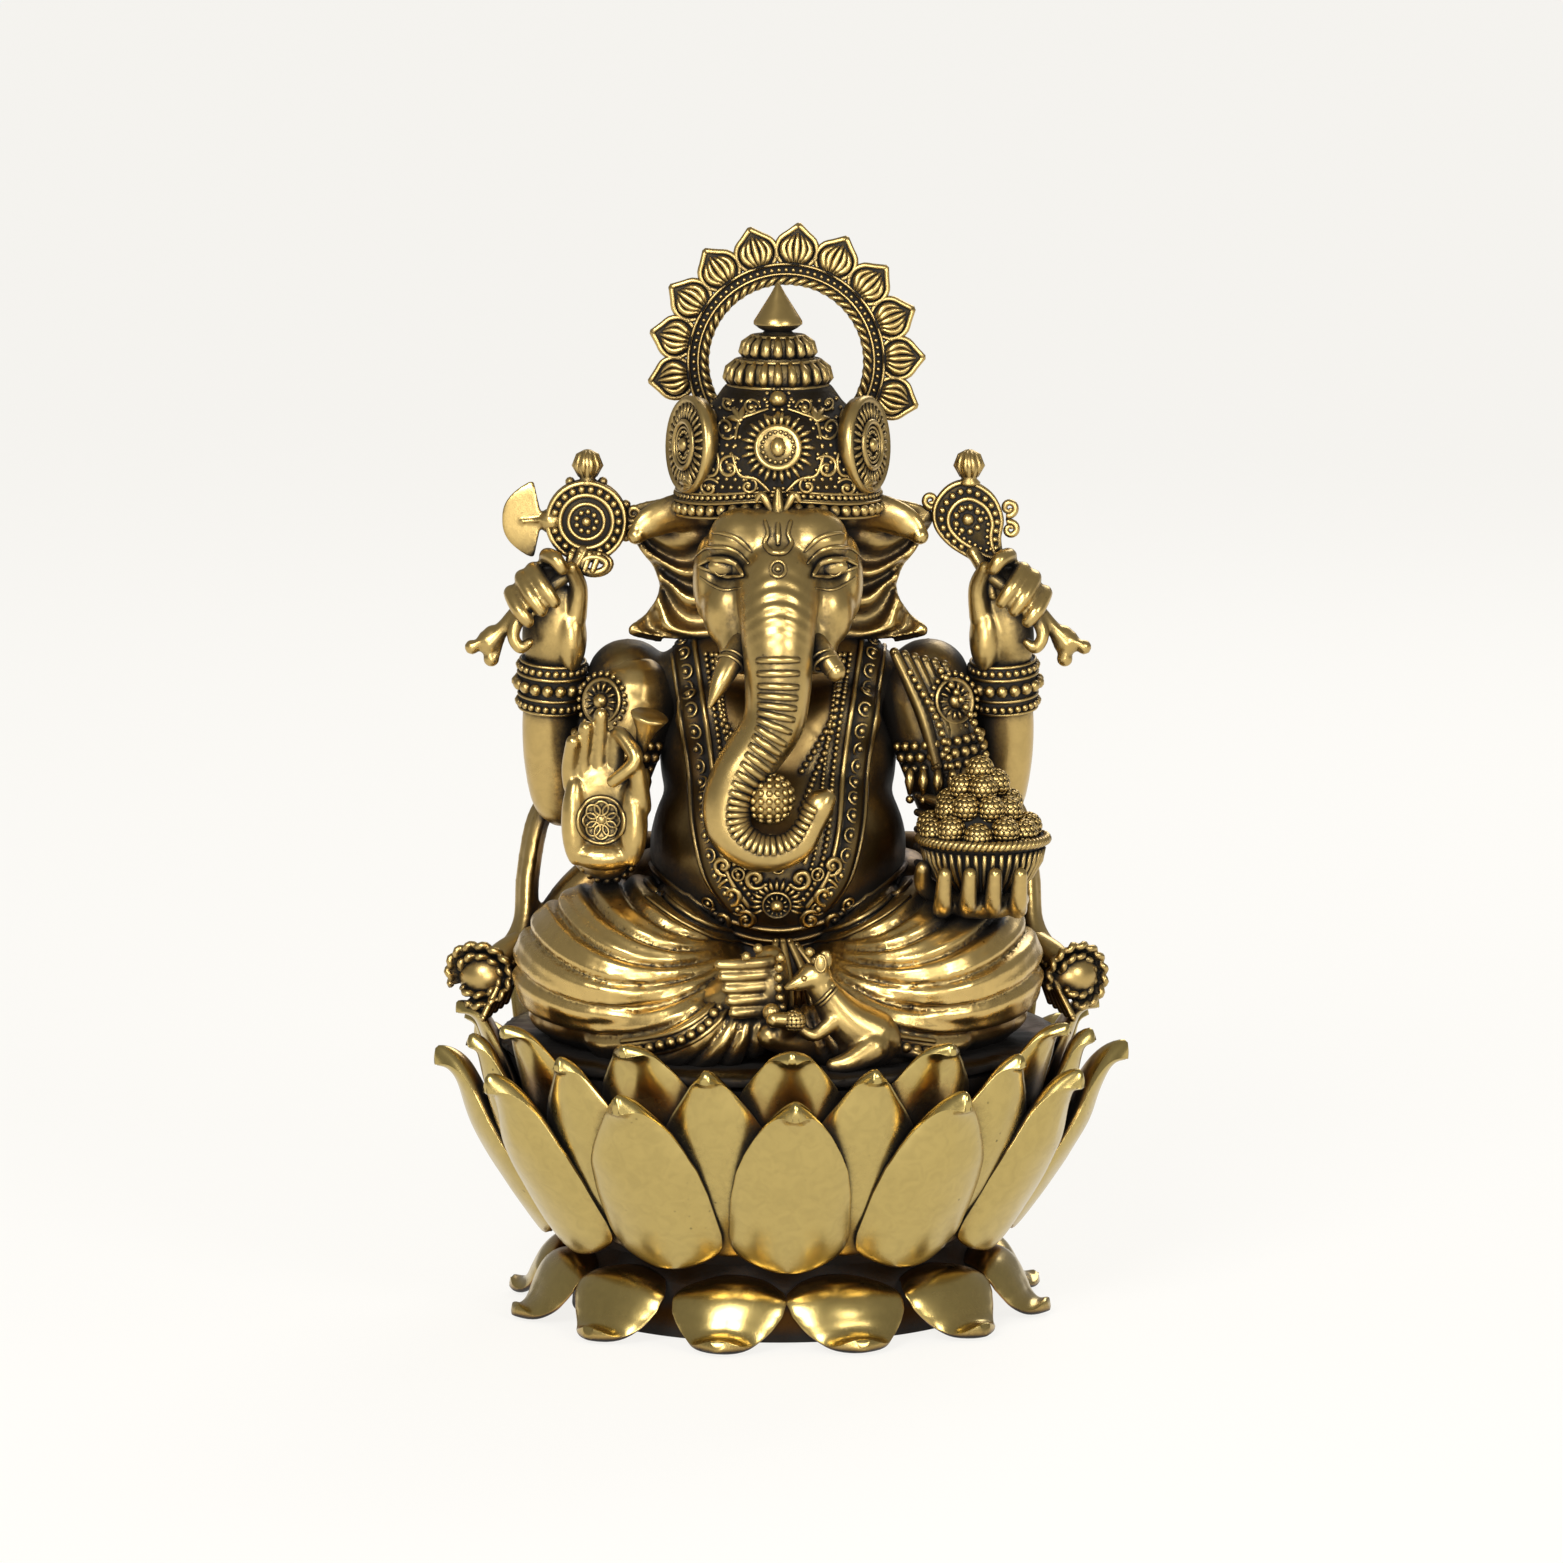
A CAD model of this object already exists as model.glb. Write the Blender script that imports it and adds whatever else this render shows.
"""Looks of a cast brass deity on a double lotus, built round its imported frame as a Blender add-on."""

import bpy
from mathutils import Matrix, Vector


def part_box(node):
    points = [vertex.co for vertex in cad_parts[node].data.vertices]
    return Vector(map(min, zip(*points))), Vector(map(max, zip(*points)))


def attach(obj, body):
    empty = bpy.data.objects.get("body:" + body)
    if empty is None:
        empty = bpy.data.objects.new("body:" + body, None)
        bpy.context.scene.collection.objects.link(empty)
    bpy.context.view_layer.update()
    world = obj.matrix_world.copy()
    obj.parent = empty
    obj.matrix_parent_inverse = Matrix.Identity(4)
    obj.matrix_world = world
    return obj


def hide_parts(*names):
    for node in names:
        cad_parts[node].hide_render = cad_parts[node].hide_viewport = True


bl_info = {
    "name": "Brass Deity On Lotus",
    "version": (1, 0, 0),
    "blender": (4, 5, 0),
    "location": "3D View > Sidebar > Deity",
    "description": "Models the chased brass surfaces of a seated deity around its frame",
    "category": "Object",
}

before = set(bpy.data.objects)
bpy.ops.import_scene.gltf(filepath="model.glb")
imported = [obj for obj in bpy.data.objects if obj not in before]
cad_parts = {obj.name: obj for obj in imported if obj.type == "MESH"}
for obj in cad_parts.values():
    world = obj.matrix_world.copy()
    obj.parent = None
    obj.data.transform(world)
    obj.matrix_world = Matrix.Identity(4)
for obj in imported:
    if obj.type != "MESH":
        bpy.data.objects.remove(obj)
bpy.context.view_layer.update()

import math

import bpy
import numpy as np
from mathutils import Vector, noise
from mathutils.bvhtree import BVHTree

MM = 0.001


def span(node):
    """Lowest and highest corner of a frame node in millimetres."""
    low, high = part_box(node)
    return np.array(low, float) / MM, np.array(high, float) / MM


def middle(node):
    low, high = span(node)
    return (low + high) / 2


TURN = 2 * math.pi
SEAT = span("seat_plate")[1][2]
SEAT_R = span("seat_plate")[1][0]
HEAD = middle("head")
RIM = span("crown_dome")[0][2]
DOME = middle("crown_dome")
TOP = span("crown_dome")[1][2]


# ---------------------------------------------------------------- settings
class DeityFinish(bpy.types.PropertyGroup):
    """Colours of the brass."""
    bright: bpy.props.FloatVectorProperty(name="Rubbed brass", description="Metal on the high points",
                                          subtype="COLOR", size=3, min=0, max=1, default=(0.55, 0.385, 0.14))
    polished: bpy.props.FloatVectorProperty(name="Polished brass", description="Metal of the petals' faces",
                                            subtype="COLOR", size=3, min=0, max=1, default=(0.53, 0.40, 0.14))
    warm: bpy.props.FloatVectorProperty(name="Brown edge", description="Tarnish beside the hollows",
                                        subtype="COLOR", size=3, min=0, max=1, default=(0.17, 0.075, 0.018))
    black: bpy.props.FloatVectorProperty(name="Blackened hollow", description="Patina in the recesses",
                                         subtype="COLOR", size=3, min=0, max=1, default=(0.008, 0.006, 0.004))
    floor: bpy.props.FloatVectorProperty(name="Floor", description="Studio floor", subtype="COLOR", size=3,
                                         min=0, max=1, default=(0.92, 0.905, 0.87))


class DeitySizes(bpy.types.PropertyGroup):
    """Sizes of the chased detail, in millimetres."""
    fold_depth: bpy.props.FloatProperty(name="Fold depth",
                                        description="Depth of the cloth folds on the legs, mm",
                                        default=2.3, min=0.2, max=4)
    bead: bpy.props.FloatProperty(name="Bead radius", description="Radius of a bead of the hem, mm",
                                  default=1.4, min=0.4, max=2)
    voxel: bpy.props.FloatProperty(name="Clay voxel",
                                   description="Grain at which sculpted forms are fused, mm",
                                   default=0.8, min=0.4, max=3)
    ladder: bpy.props.IntProperty(name="Trunk bars", description="Bars along the trunk", default=36, min=8,
                                  max=60)


def sizes():
    return bpy.context.scene.deity_sizes


def finish():
    return bpy.context.scene.deity_finish


# ---------------------------------------------------------------- shader expressions
class Term:
    """A shader socket that takes part in Python arithmetic."""

    def __init__(self, graph, socket):
        self.graph, self.socket = graph, socket

    def _math(self, operation, a, b=None, clamp=False):
        settings = {"operation": operation, "use_clamp": clamp}
        inputs = {0: a} if b is None else {0: a, 1: b}
        return self.graph.node("ShaderNodeMath", settings, inputs)

    def __add__(self, other):
        return self._math("ADD", self, other)

    __radd__ = __add__

    def __sub__(self, other):
        return self._math("SUBTRACT", self, other)

    def __rsub__(self, other):
        return self._math("SUBTRACT", other, self)

    def __mul__(self, other):
        return self._math("MULTIPLY", self, other)

    __rmul__ = __mul__

    def step(self, low, high):
        """0 below low, 1 above high, smooth between."""
        return self.graph.node("ShaderNodeMapRange", {"interpolation_type": "SMOOTHSTEP"},
                               {"Value": self, "From Min": low, "From Max": high})


class Graph:
    """Nodes of one material."""

    def __init__(self, name):
        self.material = bpy.data.materials.new(name)
        self.material.use_nodes = True
        self.tree = self.material.node_tree
        self.shader = next(n for n in self.tree.nodes if n.type == "BSDF_PRINCIPLED")

    def put(self, socket, value):
        if isinstance(value, Term):
            self.tree.links.new(value.socket, socket)
        else:
            socket.default_value = value

    def node(self, kind, settings, inputs, output=0):
        made = self.tree.nodes.new(kind)
        for key, value in settings.items():
            setattr(made, key, value)
        for key, value in inputs.items():
            self.put(made.inputs[key], value)
        return Term(self, made.outputs[output])

    def mix(self, amount, a, b):
        made = self.tree.nodes.new("ShaderNodeMix")
        made.data_type = "RGBA"
        for index, value in ((0, amount), (6, a), (7, b)):
            self.put(made.inputs[index], value)
        return Term(self, made.outputs[2])


def rgba(colour):
    return (*colour, 1.0)


def brass(name, bright, reach, low, high, smooth, grain, dark_share=1.0, edge=1.0):
    """Brass with blackened recesses. reach is how far in mm a recess is felt, low and high where its
    tarnish begins and ends, smooth the roughness of the rubbed metal and grain the depth of the casting
    skin."""
    g = Graph(name)
    place = g.node("ShaderNodeTexCoord", {}, {}, "Object")
    open_sky = g.node("ShaderNodeAmbientOcclusion", {"samples": 4}, {"Distance": reach * MM}, "AO")
    cloud = g.node("ShaderNodeTexNoise", {},
                   {"Vector": place, "Scale": 70.0, "Detail": 4.0, "Roughness": 0.6})
    skin = g.node("ShaderNodeTexNoise", {},
                  {"Vector": place, "Scale": 900.0, "Detail": 3.0, "Roughness": 0.65})
    pits = g.node("ShaderNodeTexVoronoi", {"feature": "F1"}, {"Vector": place, "Scale": 420.0}, "Distance")
    rubs = g.node("ShaderNodeTexNoise", {},
                  {"Vector": place, "Scale": 240.0, "Detail": 2.0, "Distortion": 1.2})
    wide_sky = g.node("ShaderNodeAmbientOcclusion", {"samples": 4}, {"Distance": 30 * MM}, "AO")
    speckle = (cloud - 0.5) * 0.30 + (skin - 0.5) * 0.22
    hollow = (1 - open_sky) + speckle
    shade = (1 - wide_sky) * 0.7 + (1 - open_sky) * 0.4 + speckle * 0.6
    brown = shade.step(low + 0.02, high + 0.16)
    black = hollow.step(low, high) * dark_share
    sprinkle = pits.step(0.20, 0.06) * cloud.step(0.56, 0.68)
    tone = g.mix(rubs.step(0.3, 0.75), rgba(bright), rgba([c * 0.90 for c in bright]))
    tone = g.mix(brown, tone, rgba([c * edge for c in finish().warm]))
    tone = g.mix(black, tone, rgba(finish().black))
    tone = g.mix(sprinkle * 0.7, tone, rgba(finish().black))
    g.put(g.shader.inputs["Base Color"], tone)
    g.put(g.shader.inputs["Metallic"], 1.0 - black * 0.55)
    g.put(g.shader.inputs["Roughness"], smooth + (cloud - 0.5) * 0.14 + brown * 0.08 + black * 0.22)
    g.put(g.shader.inputs["Normal"],
          g.node("ShaderNodeBump", {}, {"Strength": 0.5, "Distance": grain * MM,
                                        "Height": skin * 0.7 + rubs * 0.25 + pits.step(0.0, 0.2) * 0.35}))
    return g.material


MATERIALS = {}


def material(kind):
    """The finishes, made on first use."""
    if kind not in MATERIALS:
        f = finish()
        if kind == "petal":
            MATERIALS[kind] = brass("polished petal brass", f.polished, 6, 0.20, 0.48, 0.24, 0.05, edge=1.6)
        elif kind == "body":
            MATERIALS[kind] = brass("satin body brass", f.bright, 7, 0.15, 0.38, 0.29, 0.07, edge=0.6)
        elif kind == "deep":
            MATERIALS[kind] = brass("shaded body brass", [c * 0.52 for c in f.bright], 9, 0.12, 0.34, 0.33,
                                    0.09, edge=0.55)
        elif kind == "ornament":
            MATERIALS[kind] = brass("ornament brass", f.bright, 2.4, 0.17, 0.40, 0.32, 0.06, edge=0.5)
        elif kind == "cloth":
            MATERIALS[kind] = brass("rubbed cloth brass", [c * 1.2 for c in f.bright], 6, 0.22, 0.50, 0.27,
                                    0.07, edge=0.9)
        elif kind == "treat":
            MATERIALS[kind] = brass("scored sweet brass", f.bright, 0.9, 0.34, 0.62, 0.34, 0.04, edge=0.5)
        elif kind == "field":
            MATERIALS[kind] = brass("dark field brass", [c * 0.10 for c in f.bright], 5, 0.04, 0.25, 0.42,
                                    0.12, edge=0.3)
        else:
            MATERIALS[kind] = brass("blackened brass", [c * 0.05 for c in f.bright], 6, 0.05, 0.30, 0.45,
                                    0.30, edge=0.3)
    return MATERIALS[kind]


# ---------------------------------------------------------------- clay
def curve(points, count, closed=False):
    """A smooth line of count points through a few."""
    p = np.asarray(points, float)
    n = len(p)
    last = n if closed else n - 1
    out = []
    for t in np.linspace(0, last, count, endpoint=not closed):
        i = min(int(t), last - 1)
        f = t - i
        if closed:
            a, b, c, d = p[(i - 1) % n], p[i % n], p[(i + 1) % n], p[(i + 2) % n]
        else:
            a, b, c, d = p[max(i - 1, 0)], p[i], p[min(i + 1, n - 1)], p[min(i + 2, n - 1)]
        out.append(0.5 * (2 * b + (c - a) * f + (2 * a - 5 * b + 4 * c - d) * f * f
                          + (3 * b - a - 3 * c + d) * f ** 3))
    return np.array(out)


def angles(count):
    """Even angles round a full turn, in radians."""
    return np.linspace(0, TURN, count, endpoint=False)


def unit(v):
    v = np.asarray(v, float)
    return v / np.maximum(np.linalg.norm(v, axis=-1, keepdims=True), 1e-9)


class Clay:
    """Closed shells in millimetres, gathered into one piece."""

    def __init__(self):
        self.points, self.faces, self.count = [], [], 0

    def add(self, points, faces):
        self.points.append(np.asarray(points, float).reshape(-1, 3))
        self.faces += [tuple(i + self.count for i in face) for face in faces]
        self.count += len(self.points[-1])
        return self

    def ball(self, centre, radii, rings=6, sides=10, turn=None):
        """An ellipsoid, its pole along Z unless turn (a 3x3 matrix) says otherwise."""
        radii = np.broadcast_to(np.asarray(radii, float), 3)
        a = np.linspace(0, math.pi, rings + 1)[1:-1]
        b = angles(sides)
        grid = np.stack([np.outer(np.sin(a), np.cos(b)), np.outer(np.sin(a), np.sin(b)),
                         np.outer(np.cos(a), np.ones(sides))], -1).reshape(-1, 3)
        pts = np.vstack([[[0, 0, 1]], grid, [[0, 0, -1]]]) * radii
        if turn is not None:
            pts = pts @ np.asarray(turn).T
        rows = rings - 1
        faces = [(0, 1 + k, 1 + (k + 1) % sides) for k in range(sides)]
        for r in range(rows - 1):
            for k in range(sides):
                i, j = 1 + r * sides, (k + 1) % sides
                faces.append((i + k, i + sides + k, i + sides + j, i + j))
        low = 1 + (rows - 1) * sides
        faces += [(low + k, len(pts) - 1, low + (k + 1) % sides) for k in range(sides)]
        return self.add(pts + np.asarray(centre, float), faces)

    def tube(self, path, radii, sides=8, flat=1.0, up=(0.13, 0.2, 1), closed=False):
        """A round or flattened tube along a path; flat is its height over its width."""
        path = np.asarray(path, float)
        n = len(path)
        radii = np.interp(np.linspace(0, 1, n), np.linspace(0, 1, len(np.atleast_1d(radii))),
                          np.atleast_1d(radii))
        along = (unit(np.roll(path, -1, 0) - np.roll(path, 1, 0)) if closed
                 else unit(np.gradient(path, axis=0)))
        side = np.cross(along[0], up)
        frames = []
        for t in along:
            side = side - t * np.dot(side, t)
            side = side / max(np.linalg.norm(side), 1e-9)
            frames.append((side, np.cross(t, side)))
        ring = angles(sides)
        pts = [path[i] + radii[i] * (np.outer(np.cos(ring), frames[i][0]) + flat * np.outer(np.sin(ring),
                                                                                            frames[i][1]))
               for i in range(n)]
        faces = []
        for i in range(n if closed else n - 1):
            a, b = i * sides, ((i + 1) % n) * sides
            faces += [(a + k, a + (k + 1) % sides, b + (k + 1) % sides, b + k) for k in range(sides)]
        if not closed:
            faces += [tuple(range(sides))[::-1], tuple((n - 1) * sides + k for k in range(sides))]
        return self.add(np.vstack(pts), faces)

    def limb(self, points, radii, count=24, sides=16, flat=1.0, up=(0.13, 0.2, 1)):
        """A tube with round ends through a few points."""
        path = curve(points, count)
        width = curve(np.array(radii, float).reshape(-1, 1), count)[:, 0]
        self.tube(path, width, sides, flat, up)
        for end in (0, -1):
            self.ball(path[end], width[end] * 0.98, 8, 14)
        return self

    def lathe(self, profile, centre=(0, 0, 0), sides=64, squash=1.0, frame3=None):
        """A turned form from (radius, height) points, closed at both ends; squash scales its depth."""
        profile = np.asarray(profile, float)
        turn = angles(sides)
        pts = [np.stack([r * np.cos(turn), r * squash * np.sin(turn), np.full(sides, z)], -1) for r,
               z in profile]
        pts = np.vstack(pts)
        n = len(profile)
        faces = []
        for i in range(n - 1):
            a, b = i * sides, (i + 1) * sides
            faces += [(a + k, a + (k + 1) % sides, b + (k + 1) % sides, b + k) for k in range(sides)]
        faces += [tuple(range(sides))[::-1], tuple((n - 1) * sides + k for k in range(sides))]
        if frame3 is not None:
            pts = pts @ np.asarray(frame3).T
        return self.add(pts + np.asarray(centre, float), faces)

    def sheet(self, front, back):
        """A closed shell from two equal grids of points, joined round their edge."""
        front, back = np.asarray(front, float), np.asarray(back, float)
        rows, cols = front.shape[:2]
        size = rows * cols
        faces = []
        for r in range(rows - 1):
            for c in range(cols - 1):
                a = r * cols + c
                faces.append((a, a + 1, a + cols + 1, a + cols))
                faces.append((size + a, size + a + cols, size + a + cols + 1, size + a + 1))
        edge = [c for c in range(cols)] + [r * cols + cols - 1 for r in range(1, rows)]
        edge += [(rows - 1) * cols + c for c in range(cols - 2, -1,
                                                      -1)] + [r * cols for r in range(rows - 2, 0, -1)]
        for i, a in enumerate(edge):
            b = edge[(i + 1) % len(edge)]
            faces.append((b, a, size + a, size + b))
        return self.add(np.vstack([front.reshape(-1, 3), back.reshape(-1, 3)]), faces)

    def join(self, other, change=None):
        pts = np.vstack(other.points)
        return self.add(pts if change is None else change(pts), other.faces)

    def object(self, name):
        mesh = bpy.data.meshes.new(name)
        mesh.from_pydata((np.vstack(self.points) * MM).tolist(), [], self.faces)
        mesh.validate()
        made = bpy.data.objects.new(name, mesh)
        bpy.context.scene.collection.objects.link(made)
        return made


def select(piece):
    bpy.ops.object.select_all(action="DESELECT")
    piece.select_set(True)
    bpy.context.view_layer.objects.active = piece


def apply_modifier(piece, kind, **settings):
    select(piece)
    made = piece.modifiers.new(kind.title(), kind)
    for key, value in settings.items():
        setattr(made, key, value)
    bpy.ops.object.modifier_apply(modifier=made.name)


def outwards(piece):
    """Faces of every shell turned outwards."""
    select(piece)
    bpy.ops.object.mode_set(mode="EDIT")
    bpy.ops.mesh.select_all(action="SELECT")
    bpy.ops.mesh.normals_make_consistent(inside=False)
    bpy.ops.object.mode_set(mode="OBJECT")


def coords(piece):
    """Vertex places in millimetres and their normals."""
    mesh = piece.data
    place = np.empty(len(mesh.vertices) * 3, np.float32)
    facing = np.empty(len(mesh.vertices) * 3, np.float32)
    mesh.vertices.foreach_get("co", place)
    mesh.vertices.foreach_get("normal", facing)
    return place.reshape(-1, 3).astype(float) / MM, facing.reshape(-1, 3).astype(float)


def set_coords(piece, place):
    piece.data.vertices.foreach_set("co", (place * MM).astype(np.float32).ravel())
    piece.data.update()


def sculpt(piece, height):
    """Moves the surface along its normals by height(place, normal) in millimetres."""
    place, facing = coords(piece)
    set_coords(piece, place + facing * height(place, facing)[:, None])


def fused(clay, name, voxel=None, smooth=6, factor=0.5):
    """The clay's shells melted into one skin."""
    piece = clay.object(name)
    outwards(piece)
    apply_modifier(piece, "REMESH", mode="VOXEL", voxel_size=(voxel or sizes().voxel) * MM)
    if smooth:
        apply_modifier(piece, "SMOOTH", iterations=smooth, factor=factor)
    return piece


def placed(piece, kind, slot, *nodes, body="figure", angle=None):
    """Finish, body and frame nodes of a piece."""
    piece.data.materials.clear()
    piece.data.materials.append(material(kind))
    select(piece)
    if angle is None:
        bpy.ops.object.shade_smooth()
    else:
        bpy.ops.object.shade_smooth_by_angle(angle=math.radians(angle))
    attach(piece, body)
    if nodes:
        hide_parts(*nodes)
    return piece


def fitted(clay, name, *looks, **options):
    """A modelled form made into a piece with its faces outwards, and put on its body."""
    piece = clay.object(name)
    outwards(piece)
    return placed(piece, *looks, **options)


def carried(node, kind):
    """A frame node that shows, with a better finish."""
    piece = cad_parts[node]
    for material_slot in piece.material_slots:
        material_slot.material = material(kind)


class Skin:
    """A finished surface that ornaments are laid on."""

    def __init__(self, *pieces):
        verts, polys, base = [], [], 0
        for piece in pieces:
            place, _ = coords(piece)
            verts += place.tolist()
            polys += [tuple(base + v for v in p.vertices) for p in piece.data.polygons]
            base = len(verts)
        self.tree = BVHTree.FromPolygons(verts, polys)

    def cast(self, start, direction):
        hit, normal, _, _ = self.tree.ray_cast(Vector(start), Vector(direction))
        return (None, None) if hit is None else (np.array(hit), np.array(normal))

    def front(self, x, z, back=False):
        return self.cast((x, 300 if back else -300, z), (0, -1 if back else 1, 0))

    def lay(self, flat_path, lift, back=False):
        """A path in X and Z laid on the surface as seen from the front; points that miss are left out."""
        out = []
        for x, z in flat_path:
            hit, normal = self.front(x, z, back)
            if hit is not None:
                out.append(hit + normal * lift)
        return np.array(out)


def spaced(path, pitch, closed=False):
    """Points along a path at an even pitch."""
    path = np.asarray(path, float)
    if closed:
        path = np.vstack([path, path[:1]])
    step = np.r_[0, np.cumsum(np.linalg.norm(np.diff(path, axis=0), axis=1))]
    count = max(int(round(step[-1] / pitch)), 1)
    marks = np.linspace(0, step[-1], count + (0 if closed else 1), endpoint=not closed)
    return np.stack([np.interp(marks, step, path[:, k]) for k in range(3)], -1)


def beads(clay, path, radius, pitch=None, closed=False, detail=(5, 8)):
    for point in spaced(path, pitch or radius * 2.1, closed):
        clay.ball(point, radius, *detail)


def scroll(centre, start, turns, big, small, count=26):
    """A spiral in X and Z from its outer end (big radius at angle start, degrees) inwards."""
    t = np.linspace(0, 1, count)
    angle = math.radians(start) + turns * 2 * math.pi * t
    radius = big + (small - big) * t ** 0.8
    return np.stack([centre[0] + radius * np.cos(angle), centre[1] + radius * np.sin(angle)], -1)


def rosette(clay, centre, facing, radius, petals, thick=1.0, boss=0.34):
    """A round flower of ribs and a boss, flat on a surface that faces along facing."""
    facing = unit(facing)
    across = unit(np.cross(facing, (0.02, 0.03, 1)))
    upward = np.cross(across, facing)
    frame3 = np.stack([across, upward, facing], 1)
    centre = np.asarray(centre, float)
    clay.lathe([(0.3 * radius, -0.4 * thick), (radius, -0.4 * thick), (radius, 0.15 * thick),
                (0.9 * radius, 0.4 * thick),
                (0.84 * radius, 0.1 * thick), (0.3 * radius, 0.0)], centre, 28, 1.0, frame3)
    for k in range(petals):
        a = TURN * k / petals
        ray = np.cos(a) * across + np.sin(a) * upward
        turn = np.stack([ray, np.cross(facing, ray), facing], 1)
        clay.ball(centre + ray * radius * 0.6 + facing * 0.15 * thick,
                  (0.22 * radius, min(0.55 * math.pi * radius * 0.6 / petals, 0.2 * radius), 0.5 * thick), 5,
                  7, turn)
    clay.ball(centre + facing * 0.2 * thick, (boss * radius, boss * radius, 0.9 * thick), 6, 12, frame3)


# ---------------------------------------------------------------- lotus
def petal_clay(line, wide, outline, bulge, wall, rows=36, cols=21):
    """One petal towards +X: line is its outer middle line in radius and height, wide its half width, outline
    the share of that width along it from root to tip, bulge how far its face is rounded across."""
    fine = curve(line, 400)
    travel = np.concatenate([[0], np.cumsum(np.linalg.norm(np.diff(fine, axis=0), axis=1))])
    share = np.linspace(0, 1, rows)
    spine = np.stack([np.interp(share * travel[-1], travel, fine[:, k]) for k in (0, 1)], -1)
    half = wide * np.interp(share, *np.array(outline, float).T)
    run = unit(np.gradient(spine, axis=0))
    inward = np.stack([-run[:, 1], run[:, 0]], -1)
    s = np.sin(np.linspace(-1, 1, cols) * math.pi / 2)
    front, back = np.zeros((rows, cols, 3)), np.zeros((rows, cols, 3))
    for i in range(rows):
        rise = i / (rows - 1)
        depth = bulge * (half[i] / wide) * (0.45 * s ** 2
                                            + 0.55 * (1 - np.sqrt(np.maximum(1 - (0.98 * s) ** 2, 0))))
        thick = wall * (1 - 0.35 * rise) * np.sqrt(np.maximum(1 - s ** 2, 0)) + 0.02
        ridge = 0.9 * math.sin(math.pi * min(rise * 1.15,
                                             1)) * np.exp(-(s / 0.13) ** 2) * min(max((rise - 0.62) / 0.2, 0),
                                                                                  1)
        for grid, offset in ((front, depth - ridge), (back, depth + thick)):
            grid[i, :, 0] = spine[i, 0] + inward[i, 0] * offset
            grid[i, :, 1] = half[i] * s
            grid[i, :, 2] = spine[i, 1] + inward[i, 1] * offset
    return Clay().sheet(back, front)


def petal_ring(name, node, line, wide, outline, bulge, wall, first, seed):
    """Twelve hand-trimmed copies of a petal about the lotus's axis."""
    count = 12
    one = petal_clay(line, wide, outline, bulge, wall)
    base = np.vstack(one.points)
    ring = Clay()
    wobble = np.random.default_rng(seed)
    turn0 = math.radians(-90 + 2.6 + first)
    for k in range(count):
        a = turn0 + TURN * k / count
        lean, wide, twist = wobble.normal(0, 0.010), 1 + wobble.normal(0, 0.022), wobble.normal(0, 0.035)
        rise = (base[:, 2] - base[:, 2].min()) / np.ptp(base[:, 2])
        pts = base.copy()
        pts[:, 0] += lean * rise * 60
        pts[:, 1] = pts[:, 1] * wide + twist * rise ** 2 * 30
        x = pts[:, 0] * math.cos(a) - pts[:, 1] * math.sin(a)
        y = pts[:, 0] * math.sin(a) + pts[:, 1] * math.cos(a)
        ring.add(np.stack([x, y, pts[:, 2]], -1), one.faces)
    piece = ring.object(name)
    outwards(piece)
    apply_modifier(piece, "SUBSURF", levels=1, render_levels=1)
    sculpt(piece, hammered(0.16, 0.13))
    return placed(piece, "petal", "polished_brass", node)


def hammered(depth, frequency):
    """Small unevenness of hand work, as a height over places in mm."""
    def height(place, facing):
        return np.array([depth * noise.noise(Vector(p) * frequency) for p in place])
    return height


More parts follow.
